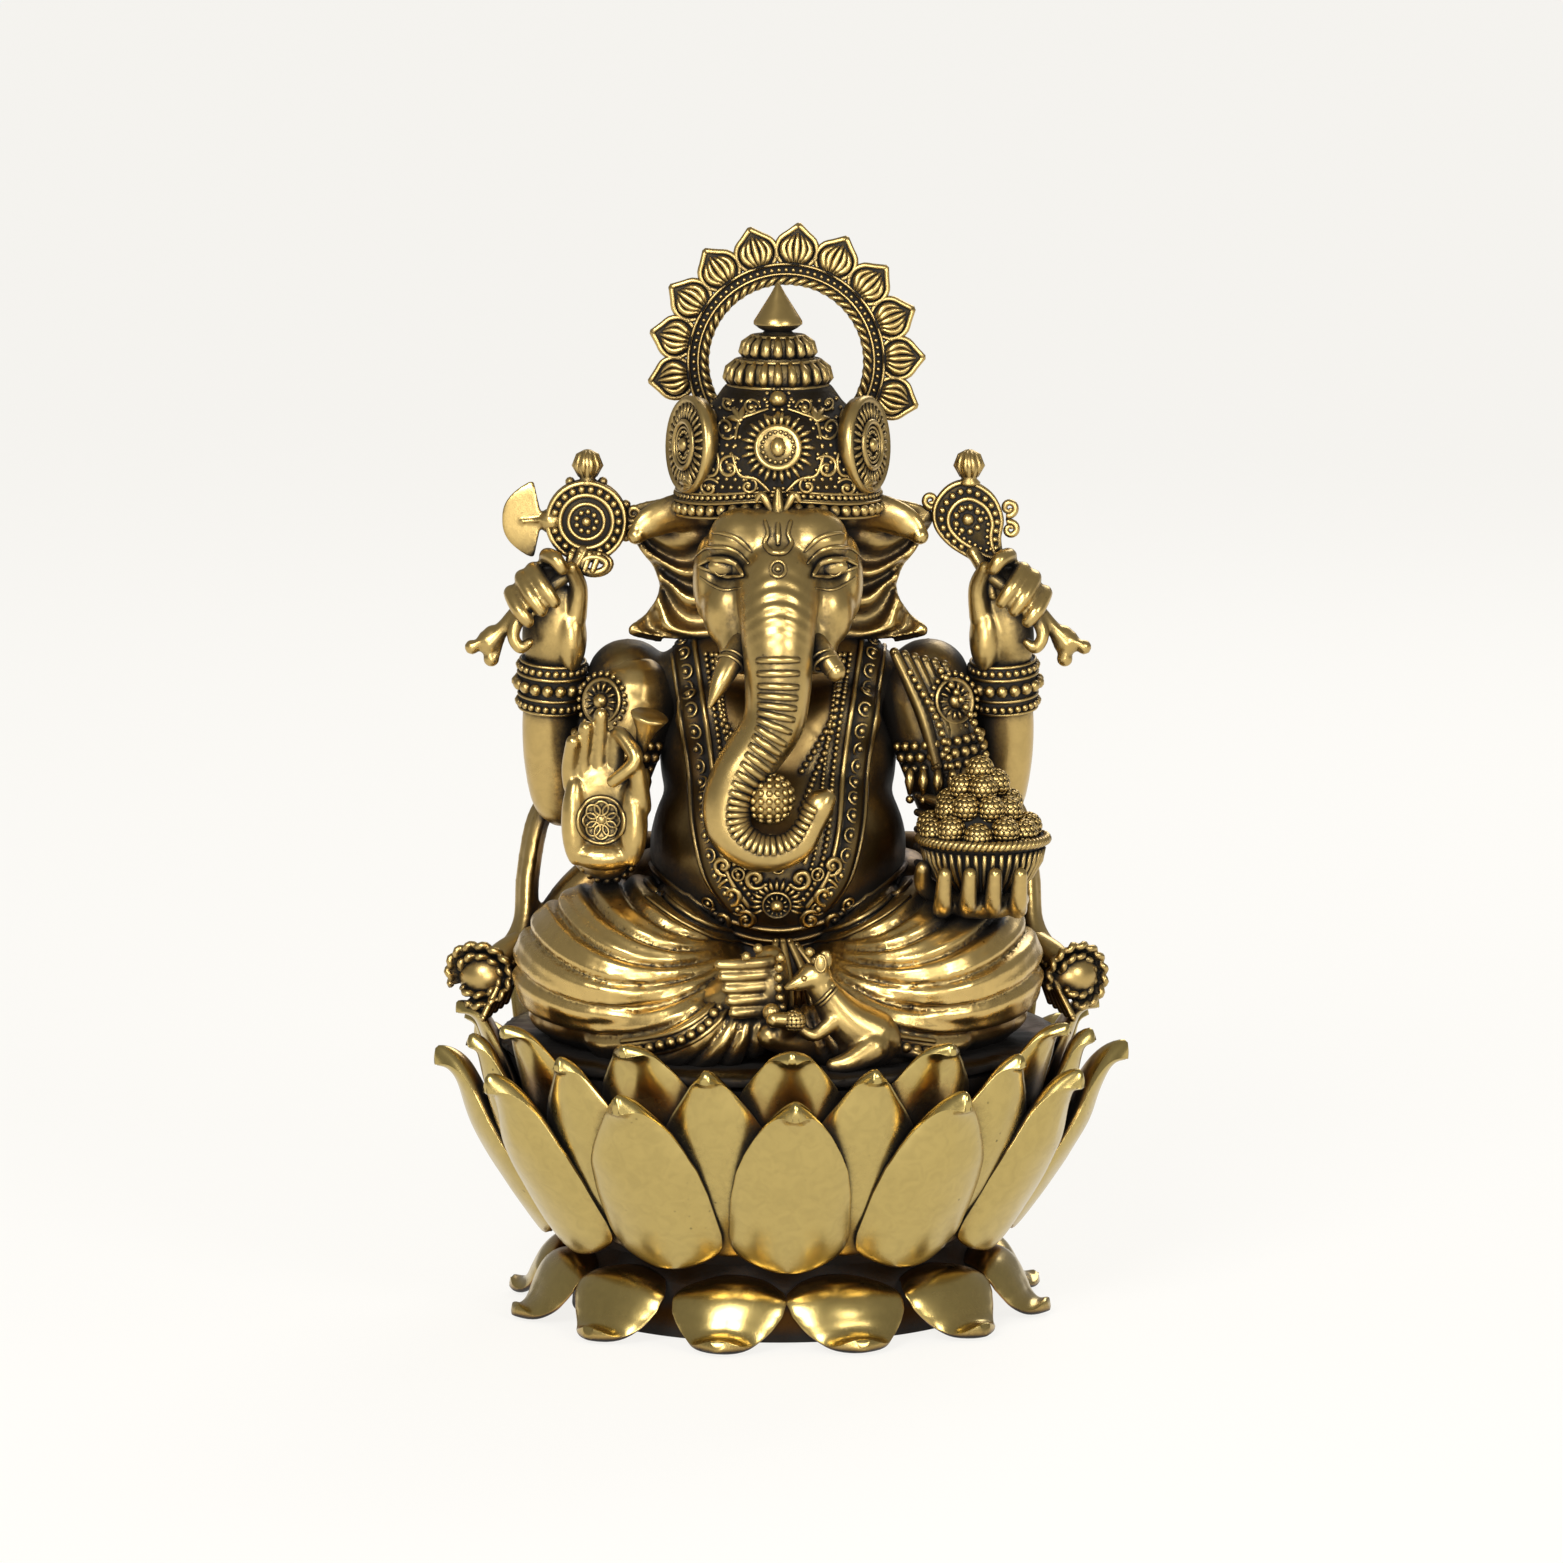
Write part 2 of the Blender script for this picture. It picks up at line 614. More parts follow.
class DEITY_OT_lotus(bpy.types.Operator):
    """Four rings of petals round the blackened core"""
    bl_idname = "deity.lotus"
    bl_label = "Lotus"

    def execute(self, context):
        for node in ("base_plate", "lotus_core"):
            carried(node, "black")
        r, s = SEAT_R, SEAT
        egg = [(0, 0.30), (0.02, 0.62), (0.05, 0.82), (0.10, 0.94), (0.18, 1.0), (0.44, 1.0), (0.60, 0.93),
               (0.72, 0.80),
               (0.81, 0.64), (0.88, 0.46), (0.94, 0.28), (1.0, 0.05)]
        blunt = [(0, 0.5), (0.15, 0.86), (0.35, 1.0), (0.55, 0.98), (0.70, 0.84), (0.82, 0.60), (0.92, 0.34),
                 (1.0, 0.06)]
        petal_ring("outer_petal_ring", "outer_petals",
                   [(r - 10.0, s - 53.5), (r - 7.4, s - 50.5), (r - 2.4, s - 43.5), (r + 3.8, s - 34),
                    (r + 9.0, s - 24.5),
                    (r + 12.0, s - 15.5), (r + 14.0, s - 11.0), (r + 16.2, s - 8.8), (r + 18.9, s - 8.6)],
                   16.3, egg, 6.4, 8.5, 0, 3)
        petal_ring("middle_petal_ring", "middle_petals",
                   [(r - 14, s - 50), (r - 3, s - 36), (r + 4, s - 23), (r + 8, s - 11), (r + 9.6, s - 4.5),
                    (r + 10.8, s - 1.2), (r + 13.6, s - 0.4)], 16.2, blunt, 6.0, 6.5, 15, 5)
        petal_ring("upper_petal_ring", "upper_petals",
                   [(r - 10, s - 34), (r, s - 18), (r + 4.5, s - 6), (r + 7.4, s + 1.4), (r + 8.8, s + 4.0),
                    (r + 11.0, s + 5.0), (r + 13.4, s + 5.0)], 14.4, blunt, 5.0, 5.4, 0, 7)
        petal_ring("lower_petal_ring", "lower_petals",
                   [(r - 20.5, s - 55.0), (r - 13.5, s - 55.2), (r - 8.6, s - 58.5), (r - 5.4, s - 64),
                    (r - 4.0, s - 66.8), (r - 2.0, s - 68.4), (r + 0.8, s - 67.8)],
                   15.4, [(0, 0.6), (0.2, 0.9), (0.4, 1.0), (0.6, 0.97), (0.76, 0.82), (0.88, 0.55),
                          (0.95, 0.32), (1, 0.1)],
                   -4.4, -5.5, 15, 9)
        seat = Clay().lathe([(1, s - 3), (r + 1.5, s - 3), (r + 2.5, s - 0.6), (r, s + 0.35), (1, s + 0.35)])
        piece = seat.object("seat_top")
        outwards(piece)
        apply_modifier(piece, "REMESH", mode="VOXEL", voxel_size=1.4 * MM)
        sculpt(piece, hammered(0.5, 0.22))
        placed(piece, "black", "dark_brass", "seat_plate")
        return {"FINISHED"}


# ---------------------------------------------------------------- torso and legs
def legs_folds(side):
    """Height of the cloth folds on one leg: ridges that fan out from the gathered cloth at the ankle."""
    depth = sizes().fold_depth

    def height(place, facing):
        dx = side * (place[:, 0]) - 7.0
        dz = SEAT + 29 - place[:, 2]
        far = np.hypot(dx, dz)
        angle = np.degrees(np.arctan2(dz, dx)) + 0.62 * far
        t = angle / 11.6
        ridge = 1 - (1 - np.abs(np.sin(math.pi * t))) ** 2.6
        second = 0.22 * np.sin(TURN * t * 2.0 + place[:, 1] * 0.05)
        fade = np.clip((far - 5) / 14, 0, 1) * np.clip((24 - place[:, 1]) / 22, 0, 1)
        return (depth * (ridge - 0.75) + 0.25 * depth * second) * fade
    return height


class DEITY_OT_body(bpy.types.Operator):
    """Torso, pleated legs, sash, feet and hems"""
    bl_idname = "deity.body"
    bl_label = "Torso and legs"

    def execute(self, context):
        s = SEAT
        clay = Clay()
        for centre, radii in (((0, -6, s + 50), (33.5, 33.5, 29)), ((0, -1, s + 72), (31, 27, 27)),
                              ((0, 1, s + 92), (33, 19, 16)), ((0, 0, s + 20), (31, 27, 26)),
                              ((0, 1, s + 104), (15, 14, 12)),
                              ((0, 6, s + 80), (27, 19, 28)), ((0, 7, s + 52), (27, 20, 30)),
                              ((0, 6, s + 34), (29, 21, 26)),
                              ((-14, -17, s + 84), (13, 8, 9)), ((14, -17, s + 84), (13, 8, 9))):
            clay.ball(centre, radii, 16, 28)
        clay.limb([(0, 2, s + 2), (0, 0.5, s + 25), (0, 0, s + 50), (0, 1, s + 72), (0, 3, s + 92),
                   (0, 2, s + 102)],
                  [25, 27, 27.4, 26.5, 20, 12], 60, 40)
        for side in (-1, 1):
            clay.ball((side * 39, 2, s + 92), (11, 11.5, 11), 12, 20)
        torso = fused(clay, "torso_skin", 1.0, 26)
        sculpt(torso, hammered(0.25, 0.10))
        placed(torso, "deep", "satin_brass", "torso")
        for side, name in ((-1, "right_leg"), (1, "left_leg")):
            clay = Clay()
            clay.ball((side * 37.5, -17, s + 19.5), (31, 37, 23), 20, 32)
            clay.ball((side * 26, -32, s + 13), (24, 22, 16.5), 16, 24)
            clay.ball((side * 48, -14, s + 17), (20, 26, 19), 16, 24)
            clay.limb([(side * 40, -40, s + 9), (side * 20, -50, s + 7.5), (side * 6, -53, s + 9)],
                      [11, 10, 6.5])
            leg = fused(clay, name + "_skin", 0.85, 10)
            sculpt(leg, legs_folds(side))
            apply_modifier(leg, "SMOOTH", iterations=1, factor=0.4)
            placed(leg, "cloth", "satin_brass", name)
        self.trim(s)
        return {"FINISHED"}

    def trim(self, s):
        bead = sizes().bead
        legs = Skin(bpy.data.objects["right_leg_skin"], bpy.data.objects["left_leg_skin"])
        hem = Clay()
        for side in (-1, 1):
            line = curve([(side * 10, s + 21), (side * 17, s + 13), (side * 27, s + 7), (side * 40, s + 3.6)],
                         40)
            beads(hem, legs.lay(line, 1.1), bead, 3.1)
            for shift in (-2.6, 2.2):
                edge = legs.lay(line + np.array([0, shift]), 0.1)
                hem.tube(edge, [0.7], 6)
        fitted(hem, "hem_beads", "ornament", "ornament_brass", "hem_bands")

        torso = Skin(bpy.data.objects["torso_skin"], bpy.data.objects["right_leg_skin"],
                     bpy.data.objects["left_leg_skin"])
        sash = Clay()
        for drop, radius in ((0, 0.9), (3.4, 0.8), (5.6, 0.45)):
            line = curve([(-34, s + 46 - drop), (-24, s + 40 - drop), (-12, s + 34 - drop),
                          (0, s + 31.5 - drop),
                          (12, s + 34 - drop), (24, s + 40 - drop), (34, s + 46 - drop)], 60)
            sash.tube(torso.lay(line, 0.3), [radius], 6)
        for side in (-1, 1):
            sash.ball((side * 30, 2, s + 40), (11, 16, 8), 10, 16)
        for x, z, bend in ((-1, 30, -3), (2.5, 30, 1), (6, 30, 4), (9.5, 29, 8)):
            sash.limb([(x * 0.5, -42, s + z), (x + bend * 0.3, -48, s + z - 9), (x + bend, -54, s + z - 20)],
                      [1.0, 1.3, 1.1], 14, 7)
        fitted(sash, "waist_cloth", "ornament", "dark_brass", "waist_sash", "front_pleats")

        foot = Clay()
        foot.limb([(-22, -40, s + 10), (-13, -50, s + 16), (-9, -54, s + 19)], [7, 6.5, 5.5], 18, 14)
        foot.limb([(-2, -54, s + 27), (-1.5, -56, s + 21), (-2.5, -55, s + 13)], [4.2, 4.6, 4.2], 16, 14)
        for k in range(5):
            z = s + 27.4 - 3.1 * k
            foot.limb([(-2 - 0.2 * k, -58.5, z), (-9 - 0.1 * k, -60.6, z - 0.2),
                       (-14.8 + 0.9 * k, -61.2, z - 0.2)],
                      [1.75, 1.7, 1.45], 16, 10)
        right = fused(foot, "right_foot_skin", 0.4, 2)
        placed(right, "body", "satin_brass", "right_foot")
        foot = Clay()
        foot.limb([(18, -46, s + 6), (6, -56, s + 7), (-2, -62, s + 9)], [6, 5.2, 3.6], 18, 14)
        foot.limb([(-1, -60, s + 9), (4, -65, s + 13), (-1, -67, s + 14)], [3, 2.4, 2.2], 12, 10)
        placed(fused(foot, "left_foot_skin", 0.6, 4), "body", "satin_brass", "left_foot")
        anklets = Clay()
        for points in ([(0.6, s + 29.5), (0.2, s + 24), (0.8, s + 17), (2.2, s + 12), (1.0, s + 6)],
                       [(8, s + 31), (11, s + 26.5), (13.5, s + 22)], [(-5, s + 32), (-8, s + 29.8)]):
            path = np.array([(x, -62.6 + 0.2 * (s + 20 - z), z) for x, z in curve(points, 20)])
            beads(anklets, path, 1.3, 2.8)
        fitted(anklets, "anklet_beads", "ornament", "ornament_brass")


# ---------------------------------------------------------------- head
class DEITY_OT_head(bpy.types.Operator):
    """Elephant head with trunk, tusks and pleated ears"""
    bl_idname = "deity.head"
    bl_label = "Head"

    def execute(self, context):
        y, z = HEAD[1:]
        face = y - 25
        clay = Clay()
        clay.ball((0, y, z + 1), (19.8, 23, 20), 18, 30)
        clay.ball((0, face + 9, z + 5), (15.5, 9.5, 13), 14, 24)
        clay.ball((0, face + 7, z - 8), (14.5, 8.5, 12), 14, 24)
        for side in (-1, 1):
            clay.ball((side * 9.0, face + 9, z + 9), (9.0, 8.5, 8.5), 12, 18)
            clay.ball((side * 12.0, face + 9.5, z - 9), (7.6, 8.5, 10), 12, 18)
            clay.ball((side * 9, face + 7, z - 17), (6.5, 7.5, 8.5), 12, 18)
            clay.ball((side * 17, face + 16, z - 2), (5, 9, 12), 12, 18)
        path = [(0, face + 4, z - 1), (0, face - 2, z - 9), (0, face - 5, z - 18), (0, face - 6.5, z - 28),
                (-1.2, face - 7.5, z - 36), (-5.6, face - 8, z - 43), (-10.6, -48, z - 50),
                (-13.2, -48.6, z - 57),
                (-12.2, -49.2, z - 63.5), (-7.0, -49.6, z - 68), (-0.8, -49.8, z - 69),
                (5.2, -49.6, z - 66.5),
                (8.6, -49.4, z - 61.0), (10.6, -49.6, z - 56.5)]
        radii = [11.0, 10.0, 9.2, 8.5, 7.9, 7.5, 6.9, 6.3, 5.8, 5.2, 4.8, 4.3, 3.8, 4.2]
        clay.limb(path, radii, 60, 20)
        clay.limb([(9.2, -49.4, z - 58.5), (12.6, -50, z - 55.2), (13.6, -50, z - 55.0)], [3.2, 3.4, 1.8], 10,
                  14)
        head = fused(clay, "head_skin", 0.7, 16)

        def wrinkles(place, facing):
            rise = place[:, 2] - z
            front = np.clip(-facing[:, 1], 0, 1)
            out = np.zeros(len(place))
            for side in (-1, 1):
                eye = np.array([side * 13.2, z + 3.0])
                d = np.hypot((place[:, 0] - eye[0]) / 6.2, (place[:, 2] - eye[1]) / 4.0)
                out -= 1.1 * np.exp(-d ** 2 * 1.1) * front
                brow = np.hypot((place[:, 0] - side * 12.5) / 8.0, (place[:, 2] - z - 9.2) / 2.2)
                out += 0.8 * np.exp(-brow ** 2) * front
            crease = np.sin(place[:, 2] * 1.9 + 0.12 * place[:, 0] ** 2)
            root = np.exp(-((rise + 5) / 7) ** 2) * np.exp(-(place[:, 0] / 8.5) ** 2) * front
            return out + 0.28 * crease * root
        sculpt(head, wrinkles)
        skin = Skin(head)
        placed(head, "body", "satin_brass", "head", "trunk")

        detail = Clay()
        line = curve(path, 400)
        width = np.interp(np.linspace(0, 1, 400), np.linspace(0, 1, len(radii)), radii)
        bars = sizes().ladder
        for k in range(bars):
            f = 0.175 + 0.80 * k / (bars - 1)
            i = int(f * 399)
            along = unit(line[i + 1] - line[i - 1])
            forward = unit(np.array([0, -1.0, 0]) - along * (-along[1]))
            outer = np.cross(along, forward)
            lean = np.clip((f - 0.30) / 0.22, 0, 1) * 0.60
            mid = unit(forward * math.cos(lean) + outer * math.sin(lean) * -1)
            across = np.cross(along, mid)
            reach = 0.66 - 0.12 * f
            arc = [line[i] + (width[i] + 0.25) * (mid * math.cos(a) + across * math.sin(a))
                   for a in np.linspace(-reach, reach, 7)]
            hits = []
            for point in arc:
                start = line[i] + (point - line[i]) * 2.2
                hit, normal = skin.cast(start, unit(line[i] - start))
                hits.append(hit + normal * 0.15 if hit is not None else point)
            detail.tube(np.array(hits), [0.8, 1.0, 1.0, 0.8], 7)
        for side in (-1, 1):
            eye = lambda dx, dz: (side * (13.4 + dx), z + 2.6 + dz)
            hit, normal = skin.front(*eye(0, 0))
            detail.ball(hit + normal * 0.1, (4.4, 1.7, 2.5), 10, 16)
            detail.ball(hit + normal * 1.4, (1.2, 0.7, 1.2), 8, 12)
            iris = [hit + normal * 1.35 + (1.9 * math.cos(a), 0,
                                           1.9 * math.sin(a)) for a in angles(15)]
            detail.tube(iris, [0.35], 5, closed=True)
            upper = [eye(-5.2, -1.6), eye(-3.0, 1.4), eye(0, 2.6), eye(3.2, 1.9), eye(6.4, -0.4)]
            lower = [eye(-5.2, -1.6), eye(-2.2, -2.4), eye(1.0, -2.5), eye(4.0, -1.6), eye(6.4, -0.4)]
            detail.tube(skin.lay(curve(upper, 22), 0.9), [0.4, 0.95, 1.0, 0.4], 7)
            detail.tube(skin.lay(curve(lower, 22), 0.8), [0.3, 0.6, 0.6, 0.3], 7)
            crease = [eye(-6.0, 1.4), eye(-2.5, 4.6), eye(1.5, 5.4), eye(5.5, 3.8), eye(8.4, 0.6)]
            detail.tube(skin.lay(curve(crease, 22), 0.15), [0.25, 0.65, 0.65, 0.25], 6)
            brow = [eye(-6.8, 4.2), eye(-3.0, 7.8), eye(2, 8.8), eye(6.4, 7.0), eye(9.0, 3.6)]
            detail.tube(skin.lay(curve(brow, 22), 0.2), [0.2, 0.7, 0.6, 0.2], 6)
            bag = [eye(-4.0, -4.6), eye(-0.5, -5.8), eye(3.5, -4.8), eye(6.5, -3.0)]
            detail.tube(skin.lay(curve(bag, 18), 0.05), [0.15, 0.4, 0.4, 0.15], 6)
        for mark in ([(-3.3, z + 14.5), (-2.5, z + 11.5), (-3.4, z + 9.2), (-1.9, z + 7.2), (0, z + 6.8),
                      (1.9, z + 7.2),
                      (3.4, z + 9.2), (2.5, z + 11.5), (3.3, z + 14.5)],
                     [(0, z + 14), (0, z + 11), (0, z + 8.6)]):
            detail.tube(skin.lay(curve(mark, 30), 0.35), [0.5, 0.85, 0.5], 7)
        hit, normal = skin.front(0, z + 3.2)
        ring = [(1.9 * math.cos(a), z + 3.2 + 1.9 * math.sin(a)) for a in angles(17)]
        detail.tube(skin.lay(ring, 0.25), [0.5], 6, closed=True)
        detail.ball(hit, (0.9, 0.8, 0.9), 6, 10)
        fitted(detail, "face_detail", "body", "satin_brass")
        self.tusks(z, face)
        self.ears(y, z)
        self.sweet()
        return {"FINISHED"}

    def tusks(self, z, face):
        clay = Clay()
        clay.limb([(-8, face + 4, z - 15), (-11.5, face - 3.5, z - 20), (-14.6, face - 7.5, z - 25.5),
                   (-17.4, face - 9.5, z - 31.5)], [3.2, 3.2, 2.5, 0.55], 24, 14)
        clay.limb([(8, face + 4, z - 15), (12, face - 3.0, z - 19.5), (14.6, face - 5.5, z - 23.0)],
                  [3.2, 3.0, 2.7], 16, 14)
        for side in (-1, 1):
            for f in (0.0, 1.3):
                c = np.array([side * (11.3 + f * 0.6), face - 3.2 - f * 0.8, z - 19.8 - f])
                a = unit(np.array([side * 3.2, -4.2, -5.4]))
                u = unit(np.cross(a, (0, 0, 1)))
                v = np.cross(a, u)
                clay.tube([c + 3.4 * (math.cos(t) * u + math.sin(t) * v)
                           for t in angles(19)],
                          [0.45], 6, closed=True)
        fitted(clay, "tusk_pair", "body", "satin_brass", "tusks")

    def ears(self, y, z):
        """Fan-like ears: a folded upper lobe, wavy pleats that run down from it, and a flared hem."""
        for side, node in ((-1, "right_ear"), (1, "left_ear")):
            rows, cols = 72, 30
            front, back = np.zeros((rows, cols, 3)), np.zeros((rows, cols, 3))
            outline = curve([(12, 17.5), (25, 17.2), (38.8, 13.2), (36.2, 6), (31.5, -1), (30.0, -7),
                             (33.5, -14),
                             (37.6, -18.0), (24, -20.5), (14, -20)], 200)
            inner = curve([(14, 16), (15.5, 8), (15, 0), (13, -10), (12, -20)], rows)
            for i in range(rows):
                v = i / (rows - 1)
                edge = outline[min(int(18 + v * 150), 199)]
                for j in range(cols):
                    u = j / (cols - 1)
                    px = inner[i][0] + (edge[0] - inner[i][0]) * u
                    pz = inner[i][1] + (edge[1] - inner[i][1]) * u
                    rib = math.sin(33 * v + 5.5 * u * u + 1.7 * math.sin(5 * u + 3 * v)
                                   + 0.8 * math.sin(11 * v))
                    wave = math.copysign(abs(rib) ** 0.7, rib)
                    low = min(max((v - 0.16) / 0.08, 0), 1) * min(max((1.0 - v) / 0.1, 0.15), 1)
                    dy = (1.7 * wave * low * min(u / 0.25, 1)
                          + 4.0 * u ** 2 - 5.0 * math.exp(-((v - 0.04) / 0.11) ** 2) * u)
                    edge_in = math.sqrt(max(1 - (2 * u - 1) ** 8, 0)) * math.sqrt(max(1 - (2 * v - 1) ** 10,
                                                                                      0))
                    front[i, j] = (side * px, y + 8 + dy, z + pz)
                    back[i, j] = (side * px, y + 8.4 + dy + 2.6 * edge_in, z + pz)
            clay = Clay().sheet(front, back)
            rim = np.array([front[i, -1] + (0, 0.8, 0) for i in range(rows)])
            clay.tube(rim, [0.8, 1.1, 0.9, 1.2], 7)
            clay.limb([(side * 17, y + 9, z + 14.2), (side * 26, y + 6.5, z + 13.6),
                       (side * 33, y + 4, z + 11.2),
                       (side * 36.6, y + 3, z + 8.0)], [5.4, 5.0, 4.2, 2.4], 26, 16, 0.55, (0, 1, 0))
            top = np.array([front[0, j] + (0, 0.6, 0.2) for j in range(cols)])
            clay.tube(top, [1.8, 1.6, 1.3], 8)
            piece = fused(clay, node + "_skin", 0.55, 2)
            placed(piece, "body", "satin_brass", node)

    def sweet(self):
        centre = np.array([-2.2, -49.0, SEAT + 68.0])
        clay = Clay().ball(centre, 6.0, 12, 20)
        rows = 9
        for i in range(rows):
            tilt = math.pi * (i + 0.5) / rows
            around = max(int(round(TURN * 6.2 * math.sin(tilt) / 2.35)), 3)
            for k in range(around):
                a = TURN * k / around
                d = np.array([math.sin(tilt) * math.sin(a), -math.sin(tilt) * math.cos(a), math.cos(tilt)])
                if d[1] < 0.45:
                    t = unit(np.cross(d, (0, 0, 1)))
                    clay.ball(centre + d * 6.05, (1.02, 1.02, 0.8), 4, 6, np.stack([t, np.cross(d, t), d], 1))
        fitted(clay, "trunk_sweet_grid", "treat", "ornament_brass", "trunk_sweet")


# ---------------------------------------------------------------- crown
class DEITY_OT_crown(bpy.types.Operator):
    """Domed crown with medallions, scrolls, tiers and finial"""
    bl_idname = "deity.crown"
    bl_label = "Crown"

    def execute(self, context):
        y = DOME[1]
        dome = Clay()
        dome.lathe([(1, RIM - 1), (24.5, RIM - 1), (26, RIM + 3), (26.6, RIM + 8), (26.0, RIM + 13),
                    (24.2, RIM + 18),
                    (20.8, RIM + 22.6), (16.8, RIM + 26), (13.6, TOP + 0.5), (1, TOP + 0.5)], (0, y, 0), 72,
                   0.96)
        piece = fused(dome, "crown_field", 0.9, 4)
        skin = Skin(piece)
        placed(piece, "black", "ornament_brass", "crown_dome")
        self.ornaments(skin, y)
        self.tiers(y)
        return {"FINISHED"}

    def ornaments(self, skin, y):
        clay = Clay()
        mid = RIM + 16.2

        def trace(points, radius, lift=0.35, count=24, sides=6, mirror=True):
            for side in ((-1, 1) if mirror else (1,)):
                path = skin.lay([(side * px, pz) for px, pz in curve(points, count)], lift)
                if len(path) > 3:
                    clay.tube(path, np.atleast_1d(radius), sides)

        def boss(px, pz, r, lift=0.3, mirror=True):
            for side in ((-1, 1) if mirror else (1,)):
                hit, normal = skin.front(side * px, pz)
                if hit is not None:
                    clay.ball(hit + normal * lift, r, 6, 9)

        # punched ground
        for row, pz in enumerate(np.arange(RIM + 4, RIM + 29, 2.1)):
            reach = 24 if pz < RIM + 22 else 17
            for px in np.arange(-reach, reach + 0.1, 2.2) + (row % 2) * 1.1:
                if math.hypot(px, pz - mid) > 10:
                    boss(px, pz, 0.62, 0.1, False)
        # leaves on the shoulder
        for px, pz, lean in ((0.1, RIM + 21.2, 0), (9.5, RIM + 22.2, 0.5), (16.0, RIM + 20.8, 0.8),
                             (20.4, RIM + 14.5, 1.0),
                             (21.5, RIM + 5.5, 1.2)):
            for side in (-1, 1):
                for spread in (-0.7, 0, 0.7):
                    a = side * (lean + spread)
                    trace([(side * px, pz), (side * px + 1.8 * math.sin(a), pz + 1.8 * math.cos(a)),
                           (side * px + 3.6 * math.sin(a * 1.2), pz + 3.6 * math.cos(a * 1.2))],
                          [0.5, 1.1, 0.3], 0.4, 8, 6,
                          False)
        # sun medallion
        hit, normal = skin.front(0, mid)
        facing = unit(normal)
        across = np.array([1.0, 0, 0])
        upward = unit(np.cross(across, facing)) * -1
        if upward[2] < 0:
            upward = -upward
        centre = hit + facing * 0.4
        frame3 = np.stack([across, upward, facing], 1)
        clay.lathe([(0.5, -1.5), (6.0, -1.5), (6.2, 0.9), (5.2, 1.2), (4.6, 0.7), (0.5, 0.9)], centre, 32, 1,
                   frame3)
        for k in range(26):
            a = TURN * k / 26
            ray = math.cos(a) * across + math.sin(a) * upward
            tip = 9.4 if k % 2 == 0 else 8.6
            clay.tube([centre + ray * 6.0 + facing * 0.3, centre + ray * 7.6 + facing * 0.9,
                       centre + ray * tip - facing * 0.2], [0.55, 0.62, 0.3], 6)
        for k in range(18):
            a = TURN * k / 18
            clay.ball(centre + 4.0 * (math.cos(a) * across + math.sin(a) * upward) + facing * 1.1, 0.55, 4, 7)
        clay.ball(centre + facing * 1.1, (1.9, 2.6, 1.5), 8, 14, frame3)

        # boss above, scrolls, sprays
        boss(0, RIM + 27.6, 2.3, 0.6, False)
        for k in range(10):
            a = TURN * k / 10
            boss(3.3 * math.cos(a), RIM + 27.6 + 2.6 * math.sin(a), 0.6, 0.4, False)
        for cx, cz, start, turns, big, small, r in (
                (12.2, RIM + 11.0, 140, -1.25, 3.4, 0.7, 0.62), (13.2, RIM + 20.6, 210, 1.2, 3.0, 0.7, 0.58),
                (7.4, RIM + 6.6, 60, 1.2, 2.7, 0.6, 0.55), (17.4, RIM + 5.6, 150, -1.3, 2.8, 0.6, 0.55),
                (18.6, RIM + 15.6, 190, 1.2, 2.6, 0.6, 0.5), (6.8, RIM + 25.6, 180, -1.2, 2.4, 0.5, 0.5),
                (12.6, RIM + 26.2, 200, 1.1, 1.9, 0.5, 0.45), (4.4, RIM + 3.2, 100, -1.2, 1.6, 0.4, 0.45)):
            path = scroll((cx, cz), start, turns, big, small, 22)
            trace(path, [r * 0.7, r, r * 0.8], 0.35, 34)
            boss(cx, cz, 0.85)
        trace([(2.0, RIM + 5.2), (5.4, RIM + 8.4), (9.6, RIM + 9.4), (11.6, RIM + 14.6)], [0.5, 0.6, 0.4])
        trace([(10.8, RIM + 18), (9.6, RIM + 22.5), (6.0, RIM + 24.2), (2.4, RIM + 25.4)], [0.4, 0.6, 0.4])
        trace([(20.5, RIM + 9.0), (16.0, RIM + 9.0), (15.0, RIM + 13.0), (17.0, RIM + 18.5)],
              [0.4, 0.55, 0.35])
        for a in range(0, 360, 15):
            boss(11.2 * math.cos(math.radians(a)), mid + 11.2 * math.sin(math.radians(a)), 0.5, 0.2, False)
        # fleur pendant over the brow
        for points, r in (([(0, RIM - 4.6), (0, RIM + 1.0), (0, RIM + 6.8)], [0.6, 2.0, 0.6]),
                          ([(0.3, RIM - 1.4), (2.2, RIM + 1.8), (4.2, RIM + 5.0), (5.6, RIM + 3.0)],
                           [0.5, 1.15, 0.5]),
                          ([(0.3, RIM - 0.2), (2.4, RIM - 0.8), (3.9, RIM + 0.8)], [0.4, 0.7, 0.35])):
            for side in (-1, 1):
                path = [(side * a, -0.0, b) for a, b in curve(points, 14)]
                path = [np.array([px, y - 28.2 - 1.2 * (1 - (px / 26) ** 2), pz]) for px, _, pz in path]
                clay.tube(path, r, 7)
        # brow band of large beads between two cords, and a finer row above
        for rise, radius, pitch, out in ((-0.8, 1.55, 3.35, 2.6), (2.4, 0.85, 2.0, 1.7)):
            path = []
            for a in angles(120):
                lift = 1.8 * math.exp(-(math.sin((a + math.pi / 2) / 2) / 0.30) ** 2)
                path.append(((24.6 + out) * math.cos(a), y + (23.6 + out) * math.sin(a), RIM + rise + lift))
            beads(clay, path, radius, pitch, True, (6, 9))
            for shift in (-radius * 1.15, radius * 1.15):
                clay.tube(np.array(path) + (0, 0, shift), [0.45], 6, closed=True)
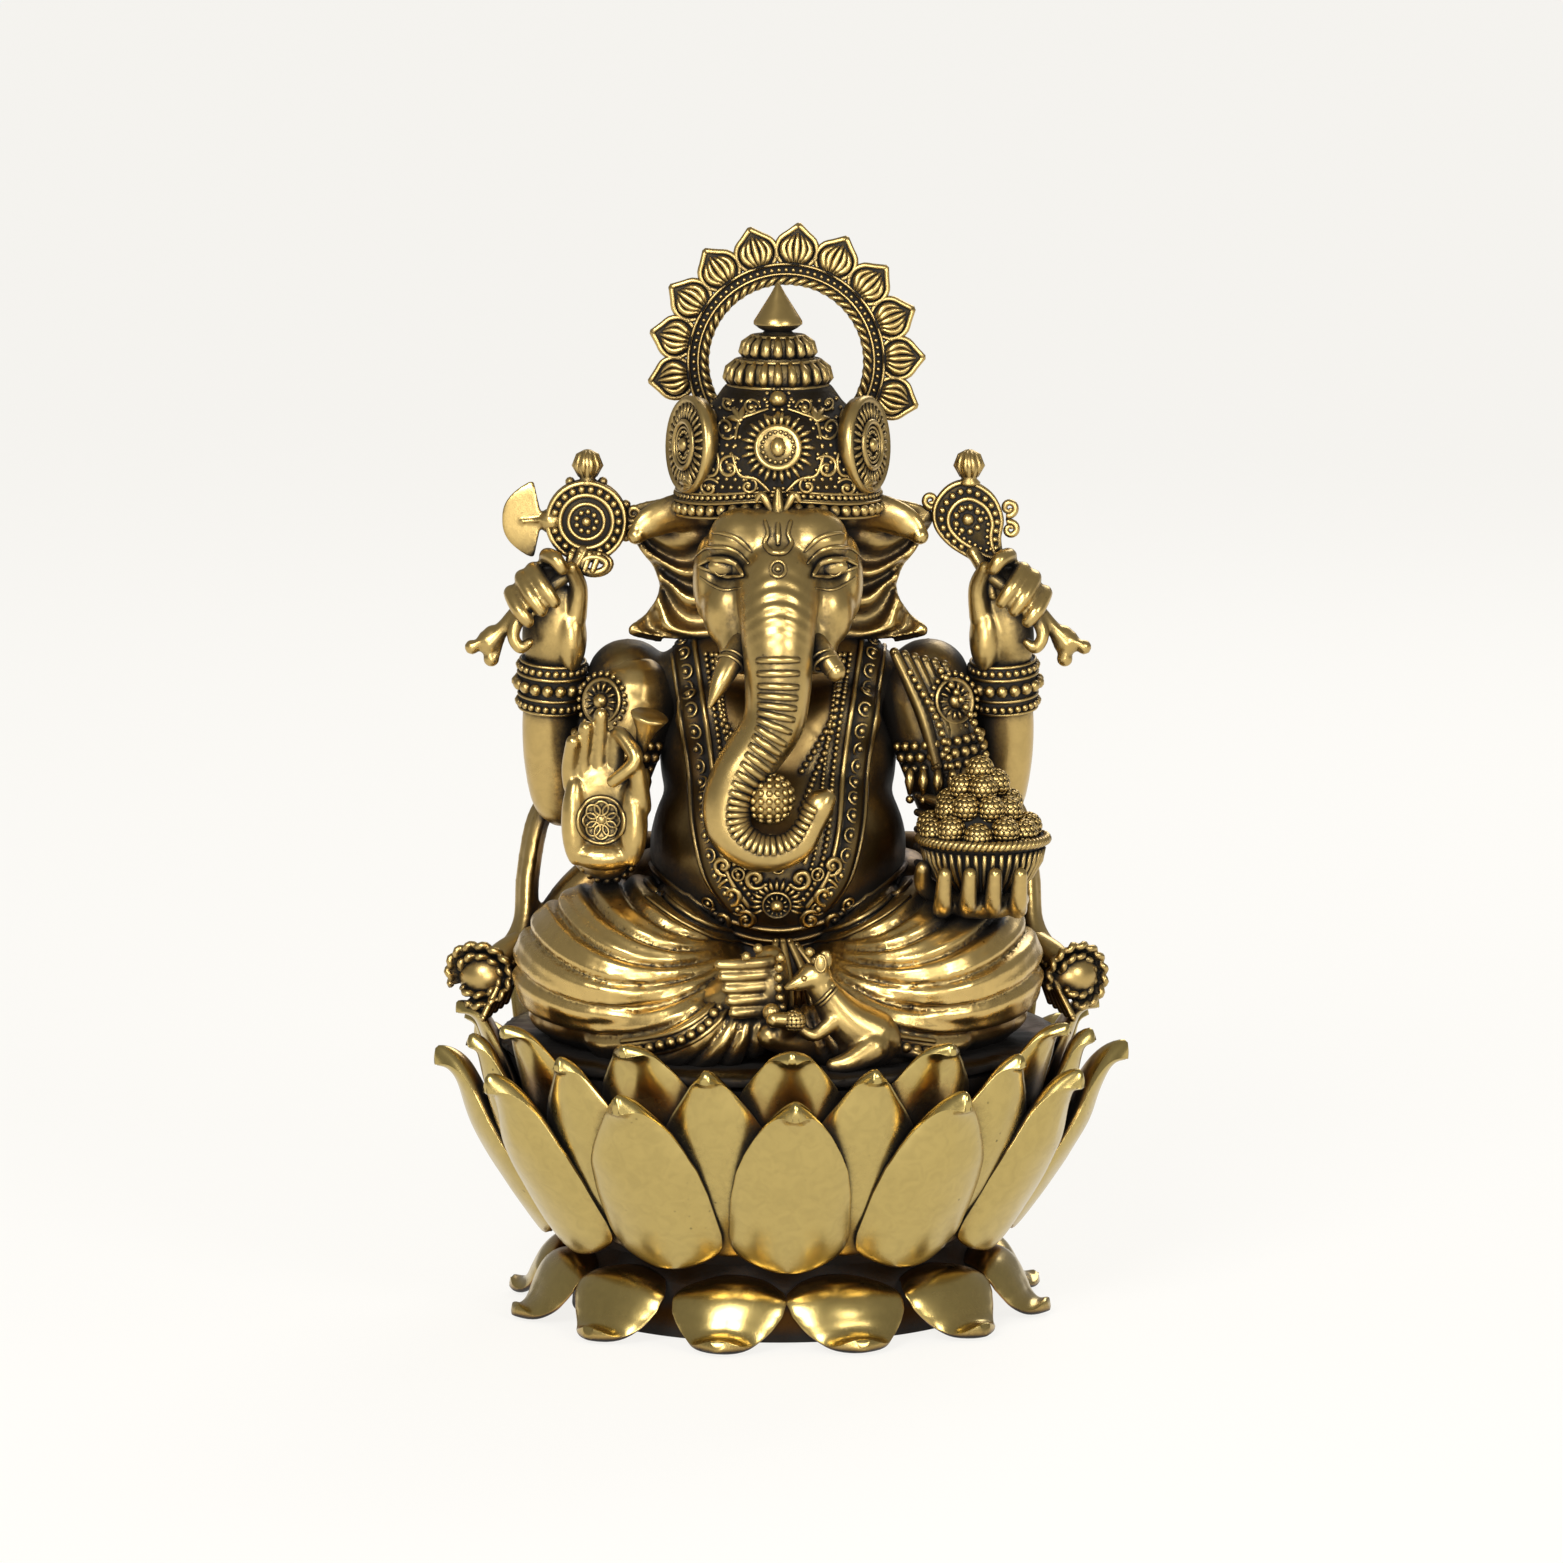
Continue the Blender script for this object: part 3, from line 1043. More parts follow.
        # the sides and back of the dome: upright leaves and beads
        for k in range(30):
            a = TURN * (k + 0.5) / 30
            if -math.sin(a) > 0.62 or abs(math.cos(a)) > 0.82:
                continue
            foot = np.array([27.0 * math.cos(a), y + 26 * math.sin(a), RIM + 4])
            for rise, r in ((6, 1.3), (13, 1.1), (19.5, 0.9)):
                inward = 1.0 if rise < 15 else 0.93
                c = np.array([foot[0] * inward, y + (foot[1] - y) * inward, RIM + rise])
                out = unit(np.array([math.cos(a), math.sin(a), 0.1]))
                side = np.array([-math.sin(a), math.cos(a), 0])
                clay.ball(c, (1.4 * r, 1.9, 2.9 * r), 6, 8, np.stack([side, out, (0, 0, 1)], 1))
                clay.ball(c + out * 0.6 + (0, 0, 3.2), 0.7, 4, 6)
        fitted(clay, "crown_chasing", "ornament", "ornament_brass", "crown_medallion", "brow_band")

        discs, ground = Clay(), Clay()
        for side in (-1, 1):
            facing = unit(np.array([side * math.cos(math.radians(24)), -math.sin(math.radians(24)), 0.06]))
            centre = np.array([0, y, RIM + 14.2]) + facing * 25.2
            upward = unit(np.array([0, 0, 1]) - facing * facing[2])
            across = np.cross(upward, facing)
            frame3 = np.stack([across, upward, facing], 1)
            ground.lathe([(1, -3.2), (12.0, -3.2), (12.0, 0.2), (1, 0.6)], centre, 40, 1, frame3)
            discs.lathe([(11.0, -3), (12.2, -3), (12.8, 0.2), (12.0, 1.3), (11.0, 0.6)], centre, 48, 1,
                        frame3)
            for radius, size in ((6.0, 0.8), (4.6, 0.4)):
                discs.tube([centre + facing * 1.3 + radius * (math.cos(a) * across + math.sin(a) * upward)
                            for a in angles(36)], [size], 7, closed=True)
            for k in range(30):
                a = TURN * k / 30
                ray = math.cos(a) * across + math.sin(a) * upward
                discs.tube([centre + ray * 6.6 + facing * 1.0, centre + ray * 8.6 + facing * 1.1,
                            centre + ray * 10.8 + facing * 0.6], [0.42, 0.58, 0.45], 6)
            for k in range(16):
                a = TURN * k / 16
                discs.ball(centre + 3.4 * (math.cos(a) * across + math.sin(a) * upward) + facing * 1.2, 0.6,
                           4, 7)
            discs.ball(centre + facing * 1.3, (1.9, 1.9, 1.5), 7, 12, frame3)
        fitted(ground, "crown_side_grounds", "field", "ornament_brass")
        fitted(discs, "crown_side_rosettes", "ornament", "ornament_brass", "crown_side_discs")

    def tiers(self, y):
        for name, node, flutes in (("lower_tier_flutes", "crown_lower_tier", 22),
                                   ("upper_tier_flutes", "crown_upper_tier", 18)):
            low, high = span(node)
            r = (high[0] - low[0]) / 2
            z, h = low[2], high[2] - low[2]
            clay = Clay().lathe([(1, z - 0.4), (r - 2.2, z - 0.4), (r - 1.2, z + 0.3 * h),
                                 (r - 1.6, z + 0.7 * h),
                                 (r - 3.4, z + h + 0.3), (1, z + h + 0.3)], (0, y, 0), 48)
            for k in range(flutes):
                a = TURN * (k + 0.5) / flutes
                ray = np.array([math.cos(a), math.sin(a), 0])
                c = np.array([0, y, 0])
                clay.tube([c + ray * (r - 1.6) + (0, 0, z + 0.4), c + ray * (r - 0.5) + (0, 0, z + 0.36 * h),
                           c + ray * (r - 0.9) + (0, 0, z + 0.66 * h),
                           c + ray * (r - 3.0) + (0, 0, z + h - 0.2)],
                          [0.8, 1.35, 1.15, 0.7], 8)
            for rise, radius, size in ((0.3, r - 0.9, 0.62), (h - 0.1, r - 3.0, 0.55)):
                ring = [(radius * math.cos(a), y + radius * math.sin(a), z + rise)
                        for a in angles(40)]
                clay.tube(ring, [size], 6, closed=True)
            fitted(clay, name, "ornament", "ornament_brass", node)
        low, high = span("crown_finial")
        r, z, h = (high[0] - low[0]) / 2, low[2], high[2] - low[2]
        clay = Clay().lathe([(0.5, z - 0.5), (0.66 * r, z - 0.5), (0.72 * r, z + 0.4), (0.56 * r, z + 1.2),
                             (0.80 * r, z + 2.0), (r, z + 3.0), (r, z + 3.8), (0.88 * r, z + 5.0),
                             (0.60 * r, z + 7.8),
                             (0.30 * r, z + 10.8), (0.12 * r, z + h - 0.7), (0.03 * r, z + h)], (0, y, 0), 48)
        fitted(clay, "finial_cone", "body", "satin_brass", "crown_finial", angle=50)


class DEITY_OT_halo(bpy.types.Operator):
    """Roped ring with eleven fan petals, on its pin"""
    bl_idname = "deity.halo"
    bl_label = "Halo"

    def execute(self, context):
        low, high = span("halo_ring")
        centre = (low + high) / 2
        outer = (high[0] - low[0]) / 2
        inner = outer - 6.2
        y = centre[1]
        clay = Clay()

        def at(radius, degrees, dy=0.0):
            a = math.radians(degrees)
            return np.array([centre[0] + radius * math.sin(a), y + dy, centre[2] + radius * math.cos(a)])
        turn = np.linspace(0, 360, 120, endpoint=False)
        section = [(inner + 0.4, -1.0), (inner + 0.4, 1.0), (outer - 0.5, 1.2), (outer - 0.5, -1.0)]
        pts = np.array([[at(r, t, dy) for r, dy in section] for t in turn]).reshape(-1, 3)
        faces = [(i * 4 + k, i * 4 + (k + 1) % 4, ((i + 1) % 120) * 4 + (k + 1) % 4, ((i + 1) % 120) * 4 + k)
                 for i in range(120) for k in range(4)]
        band = Clay().add(pts, faces).object("halo_band")
        outwards(band)
        placed(band, "field", "ornament_brass", body="halo")
        for strand in range(2):
            rope = []
            for t in np.linspace(0, 360, 480, endpoint=False):
                phase = math.radians(t * 26 + 180 * strand)
                rope.append(at(inner + 1.5 + 0.62 * math.cos(phase), t, -0.9 + 0.62 * math.sin(phase)))
            clay.tube(rope, [0.72], 6, closed=True)
        for radius, size in ((inner + 3.2, 0.42), (outer - 0.4, 0.5)):
            clay.tube([at(radius, t, -1.2) for t in turn], [size], 6, closed=True)
        for t in np.arange(0, 360, 4.5):
            clay.ball(at(outer - 1.9, t, -1.2), 0.62, 5, 7)
            if t % 9 == 0:
                clay.ball(at(outer - 1.9, t, 1.3), 0.8, 5, 7)
        fitted(clay, "halo_rope_ring", "ornament", "ornament_brass", "halo_ring", body="halo")

        fans, backing = Clay(), Clay()
        for k in range(11):
            t = 5.3 + 20.7 * (k - 5)
            out = unit(at(10, t) - centre)
            across = unit(at(10, t + 90) - centre)
            root = centre + out * (outer - 0.6)
            outline = [(3.2, 0), (4.6, 1.6), (5.3, 4.0), (4.5, 6.6), (2.4, 8.4), (0.0, 10.5)]
            right = curve(outline, 14)
            rows, cols = 14, 9
            front, back = np.zeros((rows, cols, 3)), np.zeros((rows, cols, 3))
            for i in range(rows):
                for j in range(cols):
                    s = (j / (cols - 1)) * 2 - 1
                    swell = 1.5 * math.sqrt(max(1 - s * s, 0)) * (1 - 0.75 * i / rows)
                    place = root + across * right[i][0] * s + out * right[i][1]
                    front[i, j] = place + (0, -0.3 - swell, 0)
                    back[i, j] = place + (0, 0.5 + 0.5 * swell, 0)
            backing.sheet(front, back)
            edge = [root + across * -w + out * h for w, h in right] + \
                   [root + across * w + out * h for w, h in right[::-1]]
            fans.tube(np.array(edge) + (0, -0.6, 0), [0.8], 7)
            for spread in (-0.68, -0.36, 0.0, 0.36, 0.68):
                rib = []
                for f in np.linspace(0, 1, 7):
                    h = 0.8 + (7.6 - 1.6 * abs(spread)) * f
                    w = np.interp(h, right[:, 1], right[:, 0])
                    s = spread * (0.55 + 0.45 * math.sin(math.pi * min(f * 0.9, 1)))
                    rib.append(root + across * w * s + out * h
                               + (0, -1.0 - 1.3 * math.sqrt(1 - s * s) * (1 - 0.7 * f), 0))
                fans.tube(rib, [0.5, 1.0, 0.8, 0.3], 7)
            gap = at(outer + 1.6, t + 10.35, -0.6)
            fans.ball(gap, 0.95, 5, 8)
        fitted(fans, "halo_fan_petals", "ornament", "ornament_brass", "halo_petals", body="halo")
        fitted(backing, "halo_fan_ground", "field", "ornament_brass", body="halo")
        for node in ("halo_pin", "halo_socket"):
            carried(node, "ornament")
        return {"FINISHED"}


# ---------------------------------------------------------------- arms
class DEITY_OT_arms(bpy.types.Operator):
    """Four arms, their bracelets and armlets"""
    bl_idname = "deity.arms"
    bl_label = "Arms"

    def execute(self, context):
        s = SEAT
        for side, hand in ((-1, "right"), (1, "left")):
            clay = Clay().limb([(side * 36, 7, s + 90), (side * 47, 10, s + 74), (side * 55, 11, s + 60),
                                (side * 58, 8, s + 68), (side * 59.4, 4.5, s + 82), (side * 58.4, 2, s + 96)],
                               [10.5, 9.4, 8.2, 8.0, 7.2, 6.0], 50, 22)
            arm = fused(clay, f"rear_{hand}_arm_skin", 0.85, 6)
            placed(arm, "body", "satin_brass", f"rear_{hand}_upper_arm", f"rear_{hand}_forearm")
            end = (side * 44, -27, s + 50) if side < 0 else (50, -26, s + 38)
            clay = Clay().limb([(side * 37, -3, s + 88), (side * 42, -5, s + 72), (side * 46.5, -5, s + 57),
                                (side * 46.5, -16, s + 51), end], [11.5, 10.4, 9.0, 7.8, 6.4], 50, 22)
            arm = fused(clay, f"front_{hand}_arm_skin", 0.85, 6)
            placed(arm, "body", "satin_brass", f"front_{hand}_upper_arm", f"front_{hand}_forearm")
        self.bracelets(s)
        self.armlets(s)
        return {"FINISHED"}

    def bracelets(self, s):
        clay, band = Clay(), Clay()
        for side in (-1, 1):
            c = np.array([side * 58.8, 2.6, s + 91])
            axis = unit(np.array([side * -0.06, -0.16, 1]))
            u = unit(np.cross(axis, (0, 1, 0.1)))
            v = np.cross(axis, u)
            frame3 = np.stack([u, v, axis], 1)
            band.lathe([(5.5, -6.6), (8.2, -6.4), (8.3, -3.4), (8.0, -3.0), (8.6, 2.6), (8.4, 6.0),
                        (7.9, 6.4),
                        (5.5, 6.6)], c, 44, 0.95, frame3)
            for rise, radius, size, count in ((-5.0, 8.5, 0.95, 26), (-2.9, 8.4, 0.8, 0),
                                              (0.1, 8.9, 1.65, 17),
                                              (2.9, 8.8, 0.8, 0), (4.7, 8.7, 0.98, 26), (6.3, 8.4, 0.7, 0),
                                              (-6.5, 8.2, 0.7, 0)):
                ring = [c + axis * rise + radius * (math.cos(a) * u + 0.95 * math.sin(a) * v)
                        for a in np.linspace(0, TURN, count or 40, endpoint=False)]
                if count:
                    for point in ring:
                        clay.ball(point, size, 5, 8)
                else:
                    clay.tube(ring, [size * 0.62], 6, closed=True)
        for c, axis, r in ((np.array([-44, -22, s + 50.5]), unit(np.array([0, -1, 0.1])), 7.4),
                           (np.array([50, -20, s + 42]), unit(np.array([0.2, -0.8, -0.6])), 7.4)):
            u = unit(np.cross(axis, (0, 0.1, 1)))
            v = np.cross(axis, u)
            for rise, size in ((-2.2, 0.9), (0, 1.35), (2.2, 0.9)):
                for a in angles(20):
                    clay.ball(c + axis * rise + r * (math.cos(a) * u + math.sin(a) * v), size, 5, 7)
        fitted(band, "bracelet_bands", "field", "ornament_brass")
        fitted(clay, "bracelet_beads", "ornament", "ornament_brass", "rear_bracelets")

    def armlets(self, s):
        """Armlet rosettes, tassels on the right shoulder and a pleated drape on the left."""
        clay = Clay()
        for side in (-1, 1):
            rosette(clay, (side * 45.5, -11.0, s + 88), (side * 0.55, -0.8, 0.15), 6.2, 14, 2.2)
            radius, size, count = 7.2, 0.75, 22
            facing = unit(np.array([side * 0.55, -0.8, 0.15]))
            u = unit(np.cross(facing, (0, 0, 1)))
            v = np.cross(u, facing)
            for a in angles(count):
                clay.ball(np.array([side * 45.5, -11.0,
                                    s + 88]) + radius * (math.cos(a) * u + math.sin(a) * v),
                          size, 5, 7)
            for drop, r in ((6.5, 12.2), (9.5, 11.8), (12.5, 11.4)):
                z = s + 84 - drop
                c = np.array([side * (38.6 + 0.28 * drop), -4.4, z])
                ring = [c + r * np.array([side * math.sin(a), -math.cos(a), 0.12 * math.sin(a)])
                        for a in np.linspace(-0.9, 1.9, 18)]
                beads(clay, ring, 1.25 if drop != 9.5 else 1.5, 2.9)
            for k in range(7):
                a = -0.5 + 0.3 * k
                top = np.array([side * (40 + 12.4 * math.sin(a)), -4.4 - 12.2 * math.cos(a), s + 71])
                clay.tube([top, top + (0, -0.4, -3.4), top + (0, -0.2, -6.8)], [0.9, 1.5, 0.6], 7)
                clay.ball(top + (0, -0.3, -8.0), 1.15, 5, 8)
        drape = Clay()
        for k in range(6):
            drape.limb([(30 + 2.6 * k, -13 + 1.1 * k, s + 101 - 0.8 * k),
                        (37 + 2.7 * k, -16 + 1.7 * k, s + 86 - 1.6 * k),
                       (41 + 2.8 * k, -16.5 + 2.0 * k, s + 72 - 2.6 * k)], [1.3, 1.9, 1.4], 20, 8)
        for k in range(5):
            z = s + 64 - 4.4 * k
            drape.limb([(36, -15, z), (44, -18.5 - 0.5 * k, z - 1.5), (52, -14 - 0.5 * k, z - 0.6)],
                       [1.0, 1.8, 1.1], 16, 8)
        fitted(drape, "shoulder_drape", "deep", "satin_brass")
        for first, last in (((34, -15.2, s + 96), (45, -19.0, s + 70)),
                            ((42, -11.5, s + 96), (55, -10.5, s + 70))):
            path = curve([first, (np.array(first) + last) / 2 + (1.5, -2.2, 1), last], 20)
            beads(clay, path, 1.0, 2.3)
        fitted(clay, "armlet_chasing", "ornament", "ornament_brass", "armlets")


class DEITY_OT_hands(bpy.types.Operator):
    """Blessing hand, bowl hand and the two hands that grip the emblems"""
    bl_idname = "deity.hands"
    bl_label = "Hands"

    def execute(self, context):
        s = SEAT
        for side, hand in ((-1, "right"), (1, "left")):
            clay = Clay()
            clay.limb([(side * 58.6, 1.5, s + 94), (side * 58.6, -0.6, s + 102), (side * 58.6, -2, s + 110),
                       (side * 60.0, -3, s + 117)], [6.2, 8.0, 7.4, 5.6], 20, 20, 0.72)
            clay.ball((side * 53.6, -4.0, s + 104), (4.2, 4.6, 9.4), 12, 16)
            clay.limb([(side * 52.6, -4.6, s + 109), (side * 51.6, -6.4, s + 117),
                       (side * 53.4, -9.6, s + 122.5)],
                      [3.2, 2.5, 1.9], 16, 12)
            for knuckle, bend, tip in (((59.6, 125.2), (57.4, 125.0), (55.6, 122.4)),
                                       ((63.2, 121.6), (60.4, 117.8), (57.6, 113.8)),
                                       ((66.0, 119.6), (63.8, 115.6), (61.0, 111.6)),
                                       ((68.8, 115.6), (66.8, 111.8), (64.4, 108.8))):
                clay.limb([(side * (knuckle[0] - 1.5), -1.0, s + knuckle[1] - 2.5),
                           (side * knuckle[0], -6.4, s + knuckle[1]),
                           (side * bend[0], -11.2, s + bend[1]), (side * tip[0], -11.6, s + tip[1])],
                          [2.3, 2.25, 2.1, 1.75], 22, 12)
            piece = fused(clay, f"rear_{hand}_hand_skin", 0.55, 4)
            placed(piece, "body", "satin_brass", f"rear_{hand}_hand")

        clay = Clay()
        x, y, z = -44.6, -33, s + 62
        clay.ball((x, y, z), (10.8, 4.6, 14.2), 16, 24)
        clay.ball((x - 7.2, y - 1.8, z - 2), (3.8, 4.0, 11.5), 12, 16)
        clay.ball((x + 7.2, y - 2.8, z - 2.5), (4.2, 4.6, 11.0), 12, 16)
        clay.ball((x, y - 1.0, z - 10.6), (8.6, 5.4, 4.2), 12, 16)
        for px, tip, fore in ((-8.6, 19.0, -3.6), (-5.2, 22.6, -3.2), (-1.2, 25.8, -2.6)):
            clay.limb([(x + px * 0.92, y, z + 7), (x + px, y - 0.6, z + 0.62 * tip),
                       (x + px * 0.96 + 0.5, y + fore - 0.6, z + tip)], [2.6, 2.3, 1.9], 18, 12)
        clay.limb([(x + 3.2, y, z + 8), (x + 3.4, y - 1.6, z + 20.5), (x + 7.6, y - 5.6, z + 16.8),
                   (x + 7.8, y - 6.6, z + 13.6), (x + 2.4, y - 6.6, z + 9.0)], [2.5, 2.2, 2.1, 2.0, 1.7], 26,
                  12)
        clay.limb([(x + 9.2, y - 2.5, z + 2), (x + 9.0, y - 4.8, z + 9.4), (x + 8.0, y - 6.0, z + 15.0)],
                  [3.2, 2.5, 1.7], 16, 12)
        piece = fused(clay, "blessing_hand_skin", 0.5, 4)
        sculpt(piece, lambda place, facing: -2.6 * np.clip(-facing[:, 1], 0, 1)
               * np.exp(-((place[:, 0] - x + 0.4) / 6.4) ** 2 - ((place[:, 2] - z + 1) / 8.4) ** 2))
        hand = Skin(piece)
        placed(piece, "body", "satin_brass", "front_right_hand")
        mark = Clay()
        for k in range(8):
            a = TURN * k / 8
            loop = [(x - 0.6 + 3.1 * math.cos(a) + 1.9 * math.cos(t),
                     z - 1.5 + 3.1 * math.sin(a) + 1.9 * math.sin(t))
                    for t in angles(13)]
            mark.tube(hand.lay(loop, 0.25), [0.42], 6, closed=True)
        hit = hand.front(x - 0.6, z - 1.5)[0]
        mark.ball(hit, (1.5, 1.0, 1.5), 6, 12)
        outer = [(x - 0.6 + 6.1 * math.cos(t),
                  z - 1.5 + 6.1 * math.sin(t)) for t in angles(39)]
        mark.tube(hand.lay(outer, 0.2), [0.5], 6, closed=True)
        cup = unit(np.array([0.25, -0.35, 1.0]))
        u = unit(np.cross(cup, (0, 1, 0)))
        frame3 = np.stack([u, np.cross(cup, u), cup], 1)
        mark.lathe([(0.3, -9), (1.2, -9), (1.7, -5), (2.6, -1.5), (4.6, 2.0), (5.0, 2.6), (4.5, 3.1),
                    (0.3, 2.7)],
                   (x + 11.2, y - 5.2, z + 23.4), 28, 0.8, frame3)
        fitted(mark, "palm_rosette", "body", "satin_brass")

        bx, by = middle("bowl")[:2]
        foot = span("bowl")[0][2]
        clay = Clay()
        clay.ball((bx, by, foot - 1.8), (12, 12, 5), 12, 20)
        for k in range(4):
            px = bx - 10.5 + 6.4 * k
            clay.limb([(px, by - 6, foot - 3.5), (px, by - 13.2, foot - 0.5),
                       (px + 0.4, by - 16.2, foot + 7.0)],
                      [2.6, 2.4, 1.9], 16, 12)
        clay.limb([(bx - 10, by + 4, foot - 2), (bx - 15, by - 2, foot + 2), (bx - 15.5, by - 6, foot + 7)],
                  [3, 2.6, 2],
                  16, 12)
        piece = fused(clay, "bowl_hand_skin", 0.55, 4)
        placed(piece, "body", "satin_brass", "front_left_hand")
        return {"FINISHED"}


# ---------------------------------------------------------------- what the hands hold
class DEITY_OT_emblems(bpy.types.Operator):
    """Axe, noose and the bowl of sweets"""
    bl_idname = "deity.emblems"
    bl_label = "Emblems and bowl"

    def execute(self, context):
        s = SEAT
        for side, node in ((-1, "axe_handle"), (1, "noose_handle")):
            clay = Clay()
            clay.limb([(side * 50.5, -4.5, s + 126), (side * 54, -6.4, s + 121), (side * 60, -7.2, s + 116.5),
                       (side * 66.5, -6.6, s + 112), (side * 71, -5.4, s + 106.5),
                       (side * 74.6, -4.6, s + 102.6)],
                      [2.2, 2.4, 2.2, 2.2, 2.5, 3.6], 50, 14, 0.8)
            clay.limb([(side * 73.6, -4.6, s + 104), (side * 79.2, -5.4, s + 101.4)], [3.2, 2.0], 8, 12, 0.6)
            clay.limb([(side * 73.6, -4.6, s + 104), (side * 74.2, -5.4, s + 98.4)], [3.2, 2.2], 8, 12, 0.6)
            clay.limb([(side * 66.5, -8, s + 110), (side * 68.4, -9.0, s + 105),
                       (side * 66.6, -9.0, s + 101.6),
                       (side * 64.3, -8.6, s + 103)], [1.8, 1.7, 1.6, 1.3], 22, 12)
            piece = fused(clay, node + "_skin", 0.5, 3)
            placed(piece, "body", "satin_brass", node)
        self.axe(s)
        self.noose(s)
        self.bowl()
        return {"FINISHED"}

    def knob(self, clay, x, y, z):
        clay.lathe([(0.4, z - 5.4), (2.6, z - 5.4), (3.0, z - 4.6), (2.0, z - 3.6), (2.4, z - 3.0),
                    (3.3, z - 1.0),
                    (3.4, z + 0.6), (2.6, z + 2.6), (1.0, z + 3.8), (0.2, z + 4.0)], (x, y, 0), 24)
        for k in range(10):
            a = TURN * k / 10
            d = np.array([math.cos(a), math.sin(a), 0])
            clay.tube([(x, y, z - 3) + d * 2.0, (x, y, z - 0.2) + d * 3.3, (x, y, z + 2.4) + d * 2.4,
                       (x, y, z + 3.7) + d * 0.6],
                      [0.5, 0.85, 0.7, 0.3], 6)

    def axe(self, s):
        c = middle("axe_disc")
        cx, cy, cz = c[0], c[1], s + 134.0
        clay = Clay()
        frame3 = np.stack([(1, 0, 0), (0, 0, 1), (0, -1, 0)], 1)
        plate = Clay().lathe([(0.5, -2.2), (9.6, -2.2), (10.0, -1.2), (10.0, 1.2), (9.6, 2.0), (0.5, 2.0)],
                             (cx, cy, cz), 40, 1,
                             frame3).object("axe_disc_field")
        outwards(plate)
        placed(plate, "field", "ornament_brass")
        for radius, size in ((10.0, 0.8), (6.9, 0.75), (4.6, 0.6)):
            for dy in (-2.0, 2.0):
                clay.tube([(cx + radius * math.cos(a), cy + dy, cz + radius * math.sin(a))
                           for a in angles(40)], [size], 6, closed=True)
        for count, radius, size in ((22, 8.45, 1.05), (9, 2.6, 0.8)):
            for k in range(count):
                a = TURN * k / count
                clay.ball((cx + radius * math.cos(a), cy - 2.2, cz + radius * math.sin(a)), size, 5, 8)
                clay.ball((cx + radius * math.cos(a), cy + 2.2, cz + radius * math.sin(a)), size * 0.9, 4, 7)
        clay.ball((cx, cy - 2.4, cz), (1.3, 1.1, 1.3), 7, 12)
        for k in range(8):
            a = math.pi / 8 + TURN * k / 8
            if not 2.2 < a < 4.0:
                clay.ball((cx + 11.0 * math.cos(a), cy, cz + 11.0 * math.sin(a)), 1.3, 5, 8)
        self.knob(clay, cx + 0.3, cy, cz + 14.6)
        for start, turns, px, pz in ((200, 1.3, cx + 12.2, cz + 2.0), (160, -1.3, cx + 12.0, cz - 3.2)):
            path = [(a, cy - 0.6, b) for a, b in scroll((px, pz), start, turns, 2.4, 0.7, 24)]
            clay.tube(path, [0.95, 0.9, 0.6], 7)
        for k in range(4):
            clay.limb([(cx - 4 + 2.4 * k, cy - 3, cz - 8.5), (cx - 5 + 2.2 * k, cy - 4.2, cz - 12.5)],
                      [1.1, 0.8], 8, 8)
        for k in range(2):
            loop = [(cx + 2.0 + (4.2 - k) * math.cos(t), cy - 2.5 - k,
                     cz - 11.0 + (2.6 - 0.6 * k) * math.sin(t))
                    for t in angles(25)]
            clay.tube(loop, [0.95], 7, closed=True)
        fitted(clay, "axe_rosette", "ornament", "ornament_brass", "axe_disc")

        blade = Clay()
        rows, cols = 26, 9
        front, back = np.zeros((rows, cols, 3)), np.zeros((rows, cols, 3))
        for i, v in enumerate(np.linspace(-1, 1, rows)):
            edge = np.array([cx - 22.6 + 8.6 * abs(v) ** 2.6, cz + 0.4 + 10.4 * v])
            root = np.array([cx - 11.6 - 2.0 * v * v, cz + 0.4 + 9.9 * v * (0.45 + 0.55 * v * v)])
            for j, u in enumerate(np.linspace(0, 1, cols)):
                thick = 1.25 * (1 - u) ** 0.7 * math.sqrt(max(1 - v ** 6, 0)) + 0.03
                px, pz = root + (edge - root) * u
                front[i, j], back[i, j] = (px, cy - thick, pz), (px, cy + thick, pz)
        blade.sheet(front, back)
        blade.limb([(cx - 16.5, cy - 0.8, cz), (cx - 12.6, cy, cz), (cx - 9.2, cy, cz)], [0.7, 2.4, 3.4], 10,
                   4, 0.7)
        piece = fused(blade, "axe_blade_skin", 0.4, 1)
        placed(piece, "body", "satin_brass", "axe_blade")

